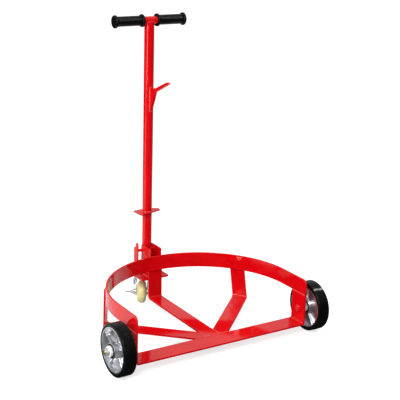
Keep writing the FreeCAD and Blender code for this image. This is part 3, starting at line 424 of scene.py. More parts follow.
def eased(profile, size):
    """Rounds every corner of a closed outline by a small size."""
    result = []
    for number, corner in enumerate(profile):
        here = Vector(corner)
        back = Vector(profile[number - 1]) - here
        ahead = Vector(profile[(number + 1) % len(profile)]) - here
        into = here + back.normalized() * min(size, back.length * EASE_SIDE_SHARE)
        away = here + ahead.normalized() * min(size, ahead.length * EASE_SIDE_SHARE)
        result += [into, (here + (into + away) / 2) / 2, away]
    return [tuple(point) for point in result]


def add_hex(form, start, axis, flats, height, bore=0.0):
    """Adds a hex head or nut with both faces chamfered to a circle."""
    axis, side, up = across(axis)
    face_radius = flats / 2 * HEX_CHAMFER_SHARE
    turns = even_turns(HEX_POINTS)
    sixth = math.pi / 3
    spans = [flats / 2 / math.cos((turn + HAIR_TURN) % sixth - sixth / 2) for turn in turns]
    drops = [(span - face_radius) * HEX_CHAMFER_SLOPE for span in spans]

    def ring(radii, heights):
        return [form.verts.new(Vector(start) + axis * rise + spoke(side, up, turn) * radius)
                for turn, radius, rise in zip(turns, radii, heights)]

    flat = [face_radius] * HEX_POINTS
    hole = [max(bore, flats * HEX_MIDDLE_SHARE)] * HEX_POINTS
    base = [0.0] * HEX_POINTS
    top = [height] * HEX_POINTS
    rings = [ring(hole, base), ring(flat, base), ring(spans, drops),
             ring(spans, [height - drop for drop in drops]), ring(flat, top), ring(hole, top)]
    join_rings(form, rings, closed=bore > 0)


def add_thread(form, start, axis, length, radius, pitch):
    """Adds a threaded rod with flat ends."""
    axis, side, up = across(axis)
    count = round(length / pitch * THREAD_STEPS)
    rings = []
    for number in range(count + 1):
        along = length * number / count
        lead = max(0, along + pitch - length) * THREAD_DEPTH_SHARE
        ring = []
        for step in range(THREAD_SIDES):
            share = step / THREAD_SIDES
            phase = (along / pitch - share) % 1
            depth = pitch * THREAD_DEPTH_SHARE * (1 - abs(2 * phase - 1))
            reach = radius - max(depth, lead)
            ring.append(form.verts.new(
                Vector(start) + axis * along + spoke(side, up, 2 * math.pi * share) * reach))
        rings.append(ring)
    join_rings(form, rings)


zinc = surface("zinc_plate", ZINC_TONES, ZINC_GLOSS, ZINC_CLOUDS_PER_METRE, ZINC_GRAIN_PER_METRE,
               ZINC_GRAIN_HEIGHT, Metallic=ZINC_METALLIC)
bolt_low, bolt_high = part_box("pivot_bolt")
nut_low, nut_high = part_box("pivot_nut")
head_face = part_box("pivot_washers")[0].x
pivot_middle = (bolt_low + bolt_high) / 2


def on_pivot(x):
    """A point on the pivot bolt's axis."""
    return Vector((x, pivot_middle.y, pivot_middle.z))


bolt_form = bmesh.new()
add_hex(bolt_form, on_pivot(head_face), (-1, 0, 0), PIVOT_FLATS, head_face - bolt_low.x)
add_rod(bolt_form, on_pivot(head_face), (1, 0, 0), nut_low.x - head_face, PIVOT_RADIUS)
add_thread(bolt_form, on_pivot(nut_low.x), (1, 0, 0), bolt_high.x - nut_low.x, PIVOT_RADIUS, PIVOT_PITCH)
pivot_bolt = as_piece("pivot_bolt_finished", bolt_form, zinc)
nut_form = bmesh.new()
add_hex(nut_form, on_pivot(nut_low.x), (1, 0, 0), PIVOT_FLATS, nut_high.x - nut_low.x, PIVOT_RADIUS)
pivot_nut = as_piece("pivot_nut_finished", nut_form, zinc)
pivot_washers = rounded_copy("pivot_washers", FASTENER_EASE, zinc)
for piece, node in ((pivot_bolt, "pivot_bolt"), (pivot_nut, "pivot_nut"), (pivot_washers, "pivot_washers")):
    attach(piece, "chassis")
    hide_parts(node)


# Axles: stub axles welded through the front bar's ends, stepped down and threaded for the wheel nuts.
# Steel rod with a gold chromate over zinc. A zinc washer and a hex nut hold each wheel.

GOLD_TONES = ((0.60, 0.29, 0.04), (0.85, 0.47, 0.07), (0.78, 0.45, 0.16))
GOLD_GLOSS = (0.20, 0.34)
AXLE_PITCH = 0.00175
AXLE_THREAD_RADIUS = 0.006
AXLE_NUT_FLATS = 0.019
SIDES = {"left": -1, "right": 1}

gold = surface("gold_chromate", GOLD_TONES, GOLD_GLOSS, ZINC_CLOUDS_PER_METRE, ZINC_GRAIN_PER_METRE,
               ZINC_GRAIN_HEIGHT, Metallic=1)
spacer_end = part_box("outer_spacers")[1].x
washer_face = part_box("axle_washers")[1].x
nut_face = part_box("axle_nuts")[1].x
axle_shank = spacer_end - axle_low.x


def on_axle(side, x):
    """A point on a main wheel's axis."""
    return Vector((side * x, axle_middle.y, axle_middle.z))


nut_form = bmesh.new()
for name, side in SIDES.items():
    outward = (side, 0, 0)
    axle_form = bmesh.new()
    add_turned(axle_form, on_axle(side, axle_low.x), outward, [
        (0, 0), (0, axle_radius - FASTENER_EASE), (FASTENER_EASE, axle_radius),
        (axle_shank, axle_radius), (axle_shank, 0)])
    add_thread(axle_form, on_axle(side, spacer_end), outward, axle_high.x - spacer_end,
               AXLE_THREAD_RADIUS, AXLE_PITCH)
    axle = as_piece(f"{name}_axle_finished", axle_form, gold)
    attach(axle, "chassis")
    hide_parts(f"{name}_axle")
    add_hex(nut_form, on_axle(side, washer_face), outward, AXLE_NUT_FLATS, nut_face - washer_face,
            AXLE_THREAD_RADIUS)
axle_nuts = as_piece("axle_nuts_finished", nut_form, zinc)
axle_washers = rounded_copy("axle_washers", FASTENER_EASE, zinc)
for piece, node in ((axle_nuts, "axle_nuts"), (axle_washers, "axle_washers")):
    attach(piece, "chassis")
    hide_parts(node)


# Wheel spacers: collars on both sides of each wheel, which keep it off the frame and the washer.
# Turned from white nylon rod and clamped against the bearings by the axle nut.

SPACER_EDGE = 0.0006
NYLON_TONES = ((0.78, 0.77, 0.74), (0.86, 0.86, 0.84))
NYLON_GLOSS = (0.30, 0.42)
NYLON_CLOUDS_PER_METRE = 40
NYLON_GRAIN_PER_METRE = 1200
NYLON_GRAIN_HEIGHT = 0.00002
NYLON_GLOW = 0.1
NYLON_GLOW_DEPTH = 0.002

nylon = surface("white_nylon", NYLON_TONES, NYLON_GLOSS, NYLON_CLOUDS_PER_METRE, NYLON_GRAIN_PER_METRE,
                NYLON_GRAIN_HEIGHT, Subsurface_Weight=NYLON_GLOW, Subsurface_Scale=NYLON_GLOW_DEPTH)
for node in ("inner_spacers", "outer_spacers"):
    spacers = rounded_copy(node, SPACER_EDGE, nylon)
    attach(spacers, "chassis")
    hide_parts(node)


# Wheel cores: gravity castings in aluminium with a dished web, five ribs on each face and a turned hub.
# The cast skin is left as it is, and only the hub's ends are faced.

CAST_TONES = ((0.58, 0.59, 0.62), (0.70, 0.71, 0.74), (0.64, 0.65, 0.67))
CAST_GLOSS = (0.30, 0.38)
CAST_CLOUDS_PER_METRE = 30
CAST_GRAIN_PER_METRE = 700
CAST_GRAIN_HEIGHT = 0.00002
CAST_EASE = 0.0014
CORE_SIDES = 96
RIM_THICK = 0.005
WEB_THICK = 0.006
WEB_SETBACK = 0.021
HUB_RADIUS = 0.024
HUB_RECESS = 0.002
HUB_BORE_RADIUS = 0.0175
RIB_COUNT = 5
RIB_START = math.radians(18)
RIB_HEIGHT = 0.009
RIB_SWEEP = 22
RIB_FLARE = 0.006
RIB_FLARE_RISE_SHARE = 0.12
RIB_FLARE_WIDTH_SHARE = 0.9
# Half of a rib's section: how far out from its middle, and the share of its height
RIB_SECTION = ((0.0075, -0.10), (0.0058, 0.02), (0.0046, 0.10), (0.0038, 0.24), (0.0033, 0.55),
               (0.0029, 0.82), (0.0023, 0.94), (0.0014, 1.0))

cast = surface("cast_aluminium", CAST_TONES, CAST_GLOSS, CAST_CLOUDS_PER_METRE, CAST_GRAIN_PER_METRE,
               CAST_GRAIN_HEIGHT, Metallic=1)
core_low, core_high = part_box("right_wheel_core")
tyre_low, tyre_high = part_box("right_tyre")
rim_radius = (core_high.y - core_low.y) / 2
rim_inside = rim_radius - RIM_THICK
web_out = tyre_high.x - WEB_SETBACK
web_in = web_out - WEB_THICK
hub_in = tyre_low.x + HUB_RECESS


def add_rib(form, side, face, height, turn):
    """Adds one cast rib on the web, flared where it runs into the hub and the rim."""
    radial = Vector((0, side * math.cos(turn), math.sin(turn)))
    sideways = Vector((0, -side * math.sin(turn), math.cos(turn)))
    section = [(-out, share) for out, share in RIB_SECTION] + list(reversed(RIB_SECTION))
    inner = HUB_RADIUS - CAST_EASE
    outer = rim_inside + CAST_EASE
    rings = []
    for number in range(RIB_SWEEP + 1):
        reach = inner + (outer - inner) * number / RIB_SWEEP
        to_end = min(reach - inner, outer - reach)
        flare = max(0, 1 - to_end / RIB_FLARE) ** 2
        ring = []
        for out, share in section:
            rise = height * share * (1 + RIB_FLARE_RISE_SHARE * flare)
            spread = out * (1 + RIB_FLARE_WIDTH_SHARE * flare * (1 - share))
            ring.append(form.verts.new(on_axle(side, face + rise) + radial * reach + sideways * spread))
        rings.append(ring)
    join_rings(form, rings)


for name, side in SIDES.items():
    core_form = bmesh.new()
    add_turned(core_form, on_axle(side, 0), (side, 0, 0), eased([
        (hub_in, HUB_BORE_RADIUS), (hub_in, HUB_RADIUS), (web_in, HUB_RADIUS), (web_in, rim_inside),
        (tyre_low.x, rim_inside), (tyre_low.x, rim_radius), (tyre_high.x, rim_radius),
        (tyre_high.x, rim_inside), (web_out, rim_inside), (web_out, HUB_RADIUS),
        (core_high.x, HUB_RADIUS), (core_high.x, HUB_BORE_RADIUS)], CAST_EASE), CORE_SIDES)
    for number in range(RIB_COUNT):
        turn = RIB_START + 2 * math.pi * number / RIB_COUNT
        add_rib(core_form, side, web_out, RIB_HEIGHT, turn)
        add_rib(core_form, side, web_in, -RIB_HEIGHT, turn)
    core = as_piece(f"{name}_wheel_core_finished", core_form, cast)
    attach(core, f"{name}_wheel")
    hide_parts(f"{name}_wheel_core")


# Tyres: solid treads of black polyurethane with rounded shoulders and a groove beside the rim.
# They are cast on the cores in a split mould, which leaves a fine line round the middle.

TREAD_TONES = ((0.0015, 0.0015, 0.0018), (0.004, 0.004, 0.0044))
TREAD_GLOSS = (0.10, 0.16)
TREAD_SHINE = 0.12
TREAD_CLOUDS_PER_METRE = 26
TREAD_GRAIN_PER_METRE = 900
TREAD_GRAIN_HEIGHT = 0.00003
TYRE_SIDES = 128
SHOULDER = 0.003
SHOULDER_STEPS = 10
TREAD_CROWN = 0.0005
MOULD_LINE = 0.0003
MOULD_LINE_WIDTH = 0.0008
LIP_DEPTH = 0.0009
LIP_WIDTH = 0.0016
LIP_END_DEPTH = 0.0003
LIP_END_WIDTH = 0.00256

tread = surface("black_polyurethane", TREAD_TONES, TREAD_GLOSS, TREAD_CLOUDS_PER_METRE, TREAD_GRAIN_PER_METRE,
                TREAD_GRAIN_HEIGHT, Specular_IOR_Level=TREAD_SHINE)
wheel_radius = (tyre_high.y - tyre_low.y) / 2
tyre_width = tyre_high.x - tyre_low.x


def tyre_half():
    """One half of a tyre's section, from its flank at the rim to the middle of the tread."""
    low = rim_radius + LIP_END_WIDTH
    high = wheel_radius - TREAD_CROWN
    points = [(0, rim_radius), (0, rim_radius + LIP_WIDTH / 2), (LIP_DEPTH, rim_radius + LIP_WIDTH),
              (LIP_END_DEPTH, low)]
    for step in range(SHOULDER_STEPS + 1):
        turn = math.pi / 2 * step / SHOULDER_STEPS
        points.append((SHOULDER * (1 - math.cos(turn)), low + (high - low) * math.sin(turn)))
    points.append((tyre_width / 2 - MOULD_LINE_WIDTH, wheel_radius - MOULD_LINE))
    points.append((tyre_width / 2 - MOULD_LINE_WIDTH / 2, wheel_radius))
    return points


half = tyre_half()
tyre_section = half + [(tyre_width - along, radius) for along, radius in reversed(half)]
for name, side in SIDES.items():
    tyre_form = bmesh.new()
    add_turned(tyre_form, on_axle(side, tyre_low.x), (side, 0, 0), tyre_section, TYRE_SIDES)
    tyre = as_piece(f"{name}_tyre_finished", tyre_form, tread)
    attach(tyre, f"{name}_wheel")
    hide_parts(f"{name}_tyre")


# Wheel seals and bearings: two ball bearings pressed into each hub, of ground steel.
# Moulded rubber rings are pushed on the hub's ends and cover them.

SEAL_EDGE = 0.0004
RUBBER_TONES = ((0.002, 0.002, 0.002), (0.005, 0.005, 0.0055))
RUBBER_GLOSS = (0.08, 0.14)
RUBBER_SHINE = 0.16
RUBBER_CLOUDS_PER_METRE = 35
RUBBER_GRAIN_PER_METRE = 1500
RUBBER_GRAIN_HEIGHT = 0.00002
BEARING_TONES = ((0.50, 0.50, 0.51), (0.62, 0.62, 0.63))
BEARING_GLOSS = (0.12, 0.22)

rubber = surface("black_rubber", RUBBER_TONES, RUBBER_GLOSS, RUBBER_CLOUDS_PER_METRE, RUBBER_GRAIN_PER_METRE,
                 RUBBER_GRAIN_HEIGHT, Specular_IOR_Level=RUBBER_SHINE)
bearing_steel = surface("bearing_steel", BEARING_TONES, BEARING_GLOSS, ZINC_CLOUDS_PER_METRE,
                        ZINC_GRAIN_PER_METRE, ZINC_GRAIN_HEIGHT, Metallic=1)


def dress(node, finish):
    """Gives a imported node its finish."""
    nodes[node].data.materials[0] = finish


for name in SIDES:
    seals = rounded_copy(f"{name}_wheel_seals", SEAL_EDGE, rubber)
    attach(seals, f"{name}_wheel")
    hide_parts(f"{name}_wheel_seals")
    dress(f"{name}_wheel_bearings", bearing_steel)


# Handle: a round tube welded behind a pivot barrel with bronze bushes, and a crossbar in its coped top.
# Drawn steel tube, coated red with the welds on it.

TUBE_EDGE = 0.0005
BRONZE_TONES = ((0.36, 0.19, 0.07), (0.52, 0.29, 0.11))
BRONZE_GLOSS = (0.25, 0.40)

bronze = surface("bronze", BRONZE_TONES, BRONZE_GLOSS, ZINC_CLOUDS_PER_METRE, ZINC_GRAIN_PER_METRE,
                 ZINC_GRAIN_HEIGHT, Metallic=1)
for node in ("handle_tube", "crossbar", "pivot_barrel"):
    bar = rounded_copy(node, TUBE_EDGE, red_coat)
    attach(bar, "handle")
    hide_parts(node)
dress("pivot_bushes", bronze)


# Hook plate and foot pedal: flat plates burnt out and welded to the tube.
# The hook holds the load's top rim, and the pedal is stepped on to tip it.

BURNT_EDGE = 0.0008

for node in ("hook_plate", "foot_pedal"):
    plate = rounded_copy(node, BURNT_EDGE, red_coat)
    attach(plate, "handle")
    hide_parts(node)


# Handle welds: beads round the crossbar's saddle, the hook, the pedal and the pivot barrel.
# Laid by hand like those of the frame, and coated over in the same paler tone, which is painted highlight.

SADDLE_STEPS = 40
BARREL_SEAM_STEPS = 20
BARREL_SEAM_SHARE = 0.98

tube_low, tube_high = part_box("handle_tube")
tube_middle = (tube_low + tube_high) / 2
tube_radius = (tube_high.x - tube_low.x) / 2
crossbar_low, crossbar_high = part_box("crossbar")
crossbar_middle = (crossbar_low + crossbar_high) / 2
crossbar_radius = (crossbar_high.y - crossbar_low.y) / 2
barrel_low, barrel_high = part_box("pivot_barrel")
barrel_radius = (barrel_high.z - barrel_low.z) / 2
hook_low, hook_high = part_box("hook_plate")
pedal_low, pedal_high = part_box("foot_pedal")
hook_top = max(vertex.co.z for vertex in nodes["hook_plate"].data.vertices
               if vertex.co.y > hook_high.y - TOUCHING)

saddle = []
saddle_drop = crossbar_middle.z - tube_high.z
saddle_reach = math.sqrt(crossbar_radius ** 2 - saddle_drop ** 2)
for turn in even_turns(SADDLE_STEPS):
    y = max(-saddle_reach, min(saddle_reach, tube_radius * math.sin(turn)))
    saddle.append((tube_radius * math.cos(turn), tube_middle.y + y,
                   crossbar_middle.z - math.sqrt(crossbar_radius ** 2 - y ** 2)))
barrel_seam = []
seam_half = BARREL_SEAM_SHARE * math.sqrt(
    tube_radius ** 2 - (tube_middle.y - pivot_middle.y - barrel_radius) ** 2)
for number in range(BARREL_SEAM_STEPS + 1):
    x = seam_half * (2 * number / BARREL_SEAM_STEPS - 1)
    y = tube_middle.y - math.sqrt(tube_radius ** 2 - x ** 2)
    rise = math.sqrt(max(0, barrel_radius ** 2 - (y - pivot_middle.y) ** 2))
    barrel_seam.append((x, y, pivot_middle.z + rise))

weld_form = bmesh.new()
add_bead(weld_form, saddle, SEAM_BEAD, closed=True)
add_bead(weld_form, barrel_seam, SEAM_BEAD)
for x in (hook_low.x, hook_high.x):
    add_bead(weld_form, [(x, hook_high.y, hook_low.z), (x, hook_high.y, hook_top)], FILLET_BEAD)
add_bead(weld_form, [(hook_low.x, hook_high.y, hook_top), (hook_high.x, hook_high.y, hook_top)], FILLET_BEAD)
for height in (pedal_low.z, pedal_high.z):
    add_bead(weld_form, circle((0, tube_middle.y, height), (0, 0, 1), tube_radius, SADDLE_STEPS), SEAM_BEAD,
             closed=True)
handle_welds = as_piece("handle_welds", weld_form, weld_coat_painted_highlight)
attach(handle_welds, "handle")


# Grips: sleeves with a flange at each end and raised rings for the fingers.
# Moulded in black rubber and pushed on the crossbar's ends.

GRIP_RADIUS = 0.016
GRIP_FLANGE = 0.008
GRIP_ROUND = 0.003
GRIP_ROUND_STEPS = 6
GRIP_END_DISH = 0.001
RING_PITCH = 0.0075
RING_DEPTH = 0.0013
RING_STEPS = 8
RING_BLUNTNESS = 0.6

grip_low, grip_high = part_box("right_grip")
grip_length = grip_high.x - grip_low.x
grip_flange_radius = (grip_high.y - grip_low.y) / 2
ring_count = round((grip_length - GRIP_FLANGE * 2) / RING_PITCH)


def flange(start, end):
    """A rounded flange of a grip."""
    points = []
    for corner, first in ((start + GRIP_ROUND, math.pi), (end - GRIP_ROUND, math.pi / 2)):
        for step in range(GRIP_ROUND_STEPS + 1):
            turn = first - math.pi / 2 * step / GRIP_ROUND_STEPS
            points.append((corner + GRIP_ROUND * math.cos(turn),
                           grip_flange_radius - GRIP_ROUND + GRIP_ROUND * math.sin(turn)))
    return points


grip_section = [(0, 0), (0, crossbar_radius)] + flange(0, GRIP_FLANGE)
for number in range(ring_count * RING_STEPS + 1):
    share = number / (ring_count * RING_STEPS)
    swell = abs(math.sin(math.pi * share * ring_count)) ** RING_BLUNTNESS
    grip_section.append((GRIP_FLANGE + (grip_length - GRIP_FLANGE * 2) * share,
                         GRIP_RADIUS - RING_DEPTH * (1 - swell)))
grip_section += flange(grip_length - GRIP_FLANGE, grip_length)
grip_section += [(grip_length, crossbar_radius), (grip_length - GRIP_END_DISH, 0)]
for name, side in SIDES.items():
    grip_form = bmesh.new()
    start = (side * grip_low.x, crossbar_middle.y, crossbar_middle.z)
    add_turned(grip_form, start, (side, 0, 0), grip_section)
    grip = as_piece(f"{name}_grip_finished", grip_form, rubber)
    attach(grip, "handle")
    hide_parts(f"{name}_grip")


# Handle lock: a lever plate welded on a cross shaft that turns in the cheeks, held by a dark nut.
# Shaft and lever are coated red, and the nut is left in its black oxide.

LEVER_EDGE = 0.0006
LOCK_NUT_FLATS = 0.019
OXIDE_TONES = ((0.020, 0.021, 0.023), (0.045, 0.046, 0.048))
OXIDE_GLOSS = (0.28, 0.42)
OXIDE_METALLIC = 0.6

black_oxide = surface("black_oxide", OXIDE_TONES, OXIDE_GLOSS, ZINC_CLOUDS_PER_METRE, ZINC_GRAIN_PER_METRE,
                      ZINC_GRAIN_HEIGHT, Metallic=OXIDE_METALLIC)
lever_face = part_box("lock_lever")[1].x
shaft_low, shaft_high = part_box("lock_shaft")
shaft_radius = (shaft_high.z - shaft_low.z) / 2
shaft_y = shaft_low.y + shaft_radius
shaft_z = (shaft_low.z + shaft_high.z) / 2
lock_nut_low, lock_nut_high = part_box("lock_nut")
for node in ("lock_lever", "lock_shaft"):
    piece = rounded_copy(node, LEVER_EDGE, plate_coat)
    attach(piece, "lock")
    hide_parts(node)
weld_form = bmesh.new()
add_bead(weld_form, circle((lever_face, shaft_y, shaft_z), (1, 0, 0), shaft_radius), SEAM_BEAD, closed=True)
lock_weld = as_piece("lock_weld", weld_form, weld_coat_painted_highlight)
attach(lock_weld, "lock")
nut_form = bmesh.new()
add_hex(nut_form, (lock_nut_low.x, shaft_y, shaft_z), (1, 0, 0), LOCK_NUT_FLATS,
        lock_nut_high.x - lock_nut_low.x, shaft_radius)
lock_nut = as_piece("lock_nut_finished", nut_form, black_oxide)
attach(lock_nut, "lock")
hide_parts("lock_nut")


# Caster mount: a pressed top plate with four bolts and nuts through the base plate, and the swivel race.
# Zinc plated steel, with hardened balls and a riveted kingpin.

PRESSED_EDGE = 0.0006
MOUNT_RADIUS = 0.004
MOUNT_FLATS = 0.013
MOUNT_PITCH = 0.00125

top_plate = rounded_copy("caster_top_plate", PRESSED_EDGE, zinc)
mount_low, mount_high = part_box("caster_mount_bolts")
mount_nut_low, mount_nut_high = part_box("caster_mount_nuts")
mount_middle = (mount_low + mount_high) / 2
mount_across = mount_high.x - MOUNT_FLATS / math.sqrt(3)
mount_along = (mount_high.y - mount_low.y - MOUNT_FLATS) / 2
bolt_form = bmesh.new()
nut_form = bmesh.new()
for x in (-mount_across, mount_across):
    for y in (mount_middle.y - mount_along, mount_middle.y + mount_along):
        add_hex(bolt_form, (x, y, plate_high.z), (0, 0, 1), MOUNT_FLATS, mount_high.z - plate_high.z)
        add_thread(bolt_form, (x, y, plate_high.z), (0, 0, -1), plate_high.z - mount_low.z,
                   MOUNT_RADIUS, MOUNT_PITCH)
        add_hex(nut_form, (x, y, mount_nut_low.z), (0, 0, 1), MOUNT_FLATS, mount_nut_high.z - mount_nut_low.z,
                MOUNT_RADIUS)
mount_bolts = as_piece("caster_mount_bolts_finished", bolt_form, zinc)
mount_nuts = as_piece("caster_mount_nuts_finished", nut_form, zinc)
for piece, node in ((top_plate, "caster_top_plate"), (mount_bolts, "caster_mount_bolts"),
                    (mount_nuts, "caster_mount_nuts")):
    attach(piece, "chassis")
    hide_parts(node)
dress("swivel_balls", bearing_steel)
dress("caster_kingpin", zinc)


# Caster fork: sheet steel pressed to a fork, with the axle bolt, its nut and the side brake's lever.
# Zinc plated. The lever turns on the axle bolt beside the fork.

CASTER_BOLT_RADIUS = 0.004
CASTER_FLATS = 0.013
CASTER_HEAD_HEIGHT = 0.0053
CASTER_PITCH = 0.00125

spin = next(joint for joint in frame["joints"] if joint["name"] == "caster_spin")
caster_middle = Vector(spin["pos_m"])
caster_axis = Vector(spin["axis"]).normalized()


def span_on_axis(node):
    """How far a node reaches along the caster's axle, to either side."""
    reaches = [(vertex.co - caster_middle).dot(caster_axis) for vertex in nodes[node].data.vertices]
    return min(reaches), max(reaches)


def on_caster_axle(reach):
    """A point on the caster's axle."""
    return caster_middle + caster_axis * reach


fork = rounded_copy("caster_fork", PRESSED_EDGE, zinc)
axle_start, axle_end = span_on_axis("caster_axle")
nut_start, nut_end = span_on_axis("caster_axle_nut")
leg_face = axle_start + CASTER_HEAD_HEIGHT
bolt_form = bmesh.new()
add_hex(bolt_form, on_caster_axle(leg_face), -caster_axis, CASTER_FLATS, CASTER_HEAD_HEIGHT)
add_rod(bolt_form, on_caster_axle(leg_face), caster_axis, nut_start - leg_face, CASTER_BOLT_RADIUS)
add_thread(bolt_form, on_caster_axle(nut_start), caster_axis, axle_end - nut_start, CASTER_BOLT_RADIUS,
           CASTER_PITCH)
caster_axle = as_piece("caster_axle_finished", bolt_form, zinc)
nut_form = bmesh.new()
add_hex(nut_form, on_caster_axle(nut_start), caster_axis, CASTER_FLATS, nut_end - nut_start,
        CASTER_BOLT_RADIUS)
caster_nut = as_piece("caster_axle_nut_finished", nut_form, zinc)
brake_lever = rounded_copy("caster_brake_lever", PRESSED_EDGE, zinc)
for piece, node, body in ((fork, "caster_fork", "caster_yoke"), (caster_axle, "caster_axle", "caster_yoke"),
                          (caster_nut, "caster_axle_nut", "caster_yoke"),
                          (brake_lever, "caster_brake_lever", "caster_brake")):
    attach(piece, body)
    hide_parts(node)


# Caster wheel: a solid wheel with a rounded tread and dished sides.
# Moulded in cream nylon round a bronze bush, which runs on the axle bolt.

CASTER_EDGE = 0.0008
CREAM_TONES = ((0.62, 0.58, 0.25), (0.70, 0.67, 0.32))
CREAM_GLOSS = (0.28, 0.40)
CREAM_GLOW_DEPTH = 0.003

cream = surface("cream_nylon", CREAM_TONES, CREAM_GLOSS, NYLON_CLOUDS_PER_METRE, NYLON_GRAIN_PER_METRE,
                NYLON_GRAIN_HEIGHT, Subsurface_Weight=NYLON_GLOW, Subsurface_Scale=CREAM_GLOW_DEPTH)
caster_wheel = rounded_copy("caster_wheel", CASTER_EDGE, cream)
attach(caster_wheel, "caster_roller")
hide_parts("caster_wheel")
dress("caster_wheel_bush", bronze)


# Studio floor: a wide sheet of pale paper that the trolley stands on, white to the camera.
# Glossy pieces mirror it as white behind the trolley, and as dark in front and round the middle; the dark
# disc round the middle is painted shade, the trolley's shadow as the pieces mirror the floor.

FLOOR_HALF = 30
FLOOR_TONE = (0.5, 0.5, 0.5, 1)
FLOOR_FRONT = (0.03, 0.03, 0.03, 1)
FLOOR_BACK = (0.8, 0.8, 0.8, 1)
FLOOR_ROUGH = 0.9
FLOOR_LIFT = 0.72
SWEEP_SIDE = (0, 1, 0)
SWEEP_START = -0.01
SWEEP_END = 0.03
SWEEP_FAR_START = 1.1
SWEEP_FAR_END = 1.7
# The dark disc round the middle that the pieces mirror: painted shade for the trolley's shadow.
PAINTED_SHADE_RADIUS = 0.18
PAINTED_SHADE_END = 0.215
WHITE = (1, 1, 1, 1)


def seen_by(owner, kind):
    """One for rays of a kind, such as those from the camera, and nought for the rest."""
    return add_node(owner, "ShaderNodeLightPath").outputs[f"Is {kind} Ray"]


def along_side(owner, source, side):
    """How far a place or a direction lies towards a side."""
    dot = add_node(owner, "ShaderNodeVectorMath")
    dot.operation = "DOT_PRODUCT"
    dot.inputs[1].default_value = side
    link(owner, source, dot.inputs[0])
    return dot.outputs["Value"]


def feed(owner, target, source):
    """Gives a socket a fixed value, or that of another socket."""
    if isinstance(source, bpy.types.NodeSocket):
        link(owner, source, target)
    else:
        target.default_value = source


def graded(owner, value, start, end, low, high):
    """Runs from low to high while a value runs from start to end."""
    grade = add_node(owner, "ShaderNodeMapRange", From_Min=start, From_Max=end)
    for name, source in (("Value", value), ("To Min", low), ("To Max", high)):
        feed(owner, grade.inputs[name], source)
    return grade.outputs["Result"]


def mixed(owner, share, first, second):
    """Mixes two colours. The mix node's sockets share their names, so they go by identifier."""
    mix = add_node(owner, "ShaderNodeMix")
    mix.data_type = "RGBA"
    sockets = {socket.identifier: socket for socket in [*mix.inputs, *mix.outputs]}
    for name, source in (("Factor_Float", share), ("A_Color", first), ("B_Color", second)):
        feed(owner, sockets[name], source)
    return sockets["Result_Color"]


def studio_floor():
    """The paper's finish, with one tone for the eye and others for what mirrors it."""
    finish, shader = new_finish("studio_floor")
    place = add_node(finish, "ShaderNodeNewGeometry").outputs["Position"]
    behind = along_side(finish, place, SWEEP_SIDE)
    far_end = graded(finish, behind, SWEEP_FAR_START, SWEEP_FAR_END, 1, 0)
    sweep = graded(finish, behind, SWEEP_START, SWEEP_END, 0, far_end)
    # Painted shade: what the pieces mirror is dark within a disc round the middle.
    from_middle = add_node(finish, "ShaderNodeVectorMath")
    from_middle.operation = "LENGTH"
    link(finish, place, from_middle.inputs[0])
    beside = graded(finish, from_middle.outputs["Value"], PAINTED_SHADE_RADIUS, PAINTED_SHADE_END, 0, sweep)
    mirrored_tone = mixed(finish, beside, FLOOR_FRONT, FLOOR_BACK)
    tone = mixed(finish, seen_by(finish, "Glossy"), FLOOR_TONE, mirrored_tone)
    lift = graded(finish, seen_by(finish, "Camera"), 0, 1, 0, FLOOR_LIFT)
    for name, source in (("Base Color", tone), ("Roughness", FLOOR_ROUGH), ("Specular IOR Level", 0),
                         ("Emission Color", WHITE), ("Emission Strength", lift)):
        feed(finish, shader.inputs[name], source)
    return finish


floor_form = bmesh.new()
bmesh.ops.create_grid(floor_form, x_segments=1, y_segments=1, size=FLOOR_HALF)
floor_mesh = bpy.data.meshes.new("studio_floor")
floor_form.to_mesh(floor_mesh)
floor_form.free()
floor = bpy.data.objects.new("studio_floor", floor_mesh)
bpy.context.scene.collection.objects.link(floor)
floor_mesh.materials.append(studio_floor())


# Studio light: a soft dome, bright above on the left and dark low on the right, white to the camera.
# A key box, two strips on the left for the lines on the tube and a small box on the right add to it.

DOME_SIDE = (-0.45, 0.35, 0.82)
DOME_DARK = 0.04
DOME_BRIGHT = 0.92
DOME_DARK_FROM = -0.6
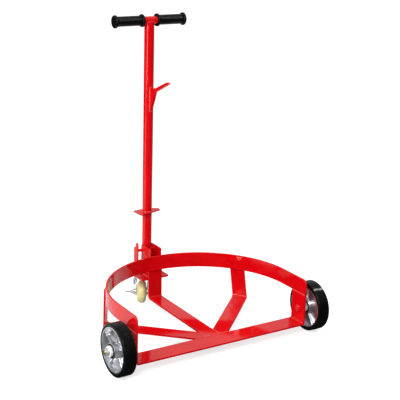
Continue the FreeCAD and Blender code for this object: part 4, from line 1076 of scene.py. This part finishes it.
# Each lamp's name, place, target, width, height and watts
LAMPS = (
    ("key_box", (-2.2, -2.4, 3.0), (0, 0, 0.3), 1.4, 1.4, 100),
    ("strip_box", (-2.8, -0.8, 1.3), (0, 0.2, 0.6), 0.3, 2.4, 40),
    ("right_box", (1.85, -0.2, 2.2), (0.2, 0, 0.3), 0.25, 0.6, 15),
    ("low_strip", (-1.15, 0.16, 0.46), (0, 0.23, 0.46), 0.08, 0.9, 0.5),
)

world = bpy.data.worlds.new("studio_dome")
bpy.context.scene.world = world
world.use_nodes = True
sky = add_node(world, "ShaderNodeTexCoord").outputs["Generated"]
shade = graded(world, along_side(world, sky, DOME_SIDE), DOME_DARK_FROM, 1, DOME_DARK, DOME_BRIGHT)
dome = world.node_tree.nodes["Background"]
dome.inputs["Color"].default_value = WHITE
link(world, graded(world, seen_by(world, "Camera"), 0, 1, shade, 1), dome.inputs["Strength"])
for name, place, target, width, height, watts in LAMPS:
    lamp = bpy.data.lights.new(name, "AREA")
    lamp.shape = "RECTANGLE"
    lamp.size = width
    lamp.size_y = height
    lamp.energy = watts
    soft_box = bpy.data.objects.new(name, lamp)
    soft_box.location = place
    soft_box.rotation_euler = (Vector(target) - Vector(place)).to_track_quat("-Z", "Y").to_euler()
    bpy.context.scene.collection.objects.link(soft_box)


# Camera: where the photograph was taken from, fitted to the ring, wheels and handle.
# Its place is measured from the ring's centre on the floor.

CAMERA_FROM_RING = Vector((-1.6218, -2.4994, 1.3488))
VIEW_FORWARD = Vector((0.5154, 0.8077, -0.2867))
VIEW_RIGHT = Vector((0.8469, -0.5312, 0.0260))
LENS_MM = 92.945
SENSOR_MM = 36

forward = VIEW_FORWARD.normalized()
upward = VIEW_RIGHT.cross(forward).normalized()
right = forward.cross(upward)
facing = Matrix((right, upward, -forward)).transposed().to_4x4()
camera = bpy.data.objects.new("camera", bpy.data.cameras.new("camera"))
camera.data.lens = LENS_MM
camera.data.sensor_width = SENSOR_MM
camera.matrix_world = Matrix.Translation(ring_centre + CAMERA_FROM_RING) @ facing
bpy.context.scene.collection.objects.link(camera)
bpy.context.scene.camera = camera
bpy.context.scene.view_settings.view_transform = "Standard"
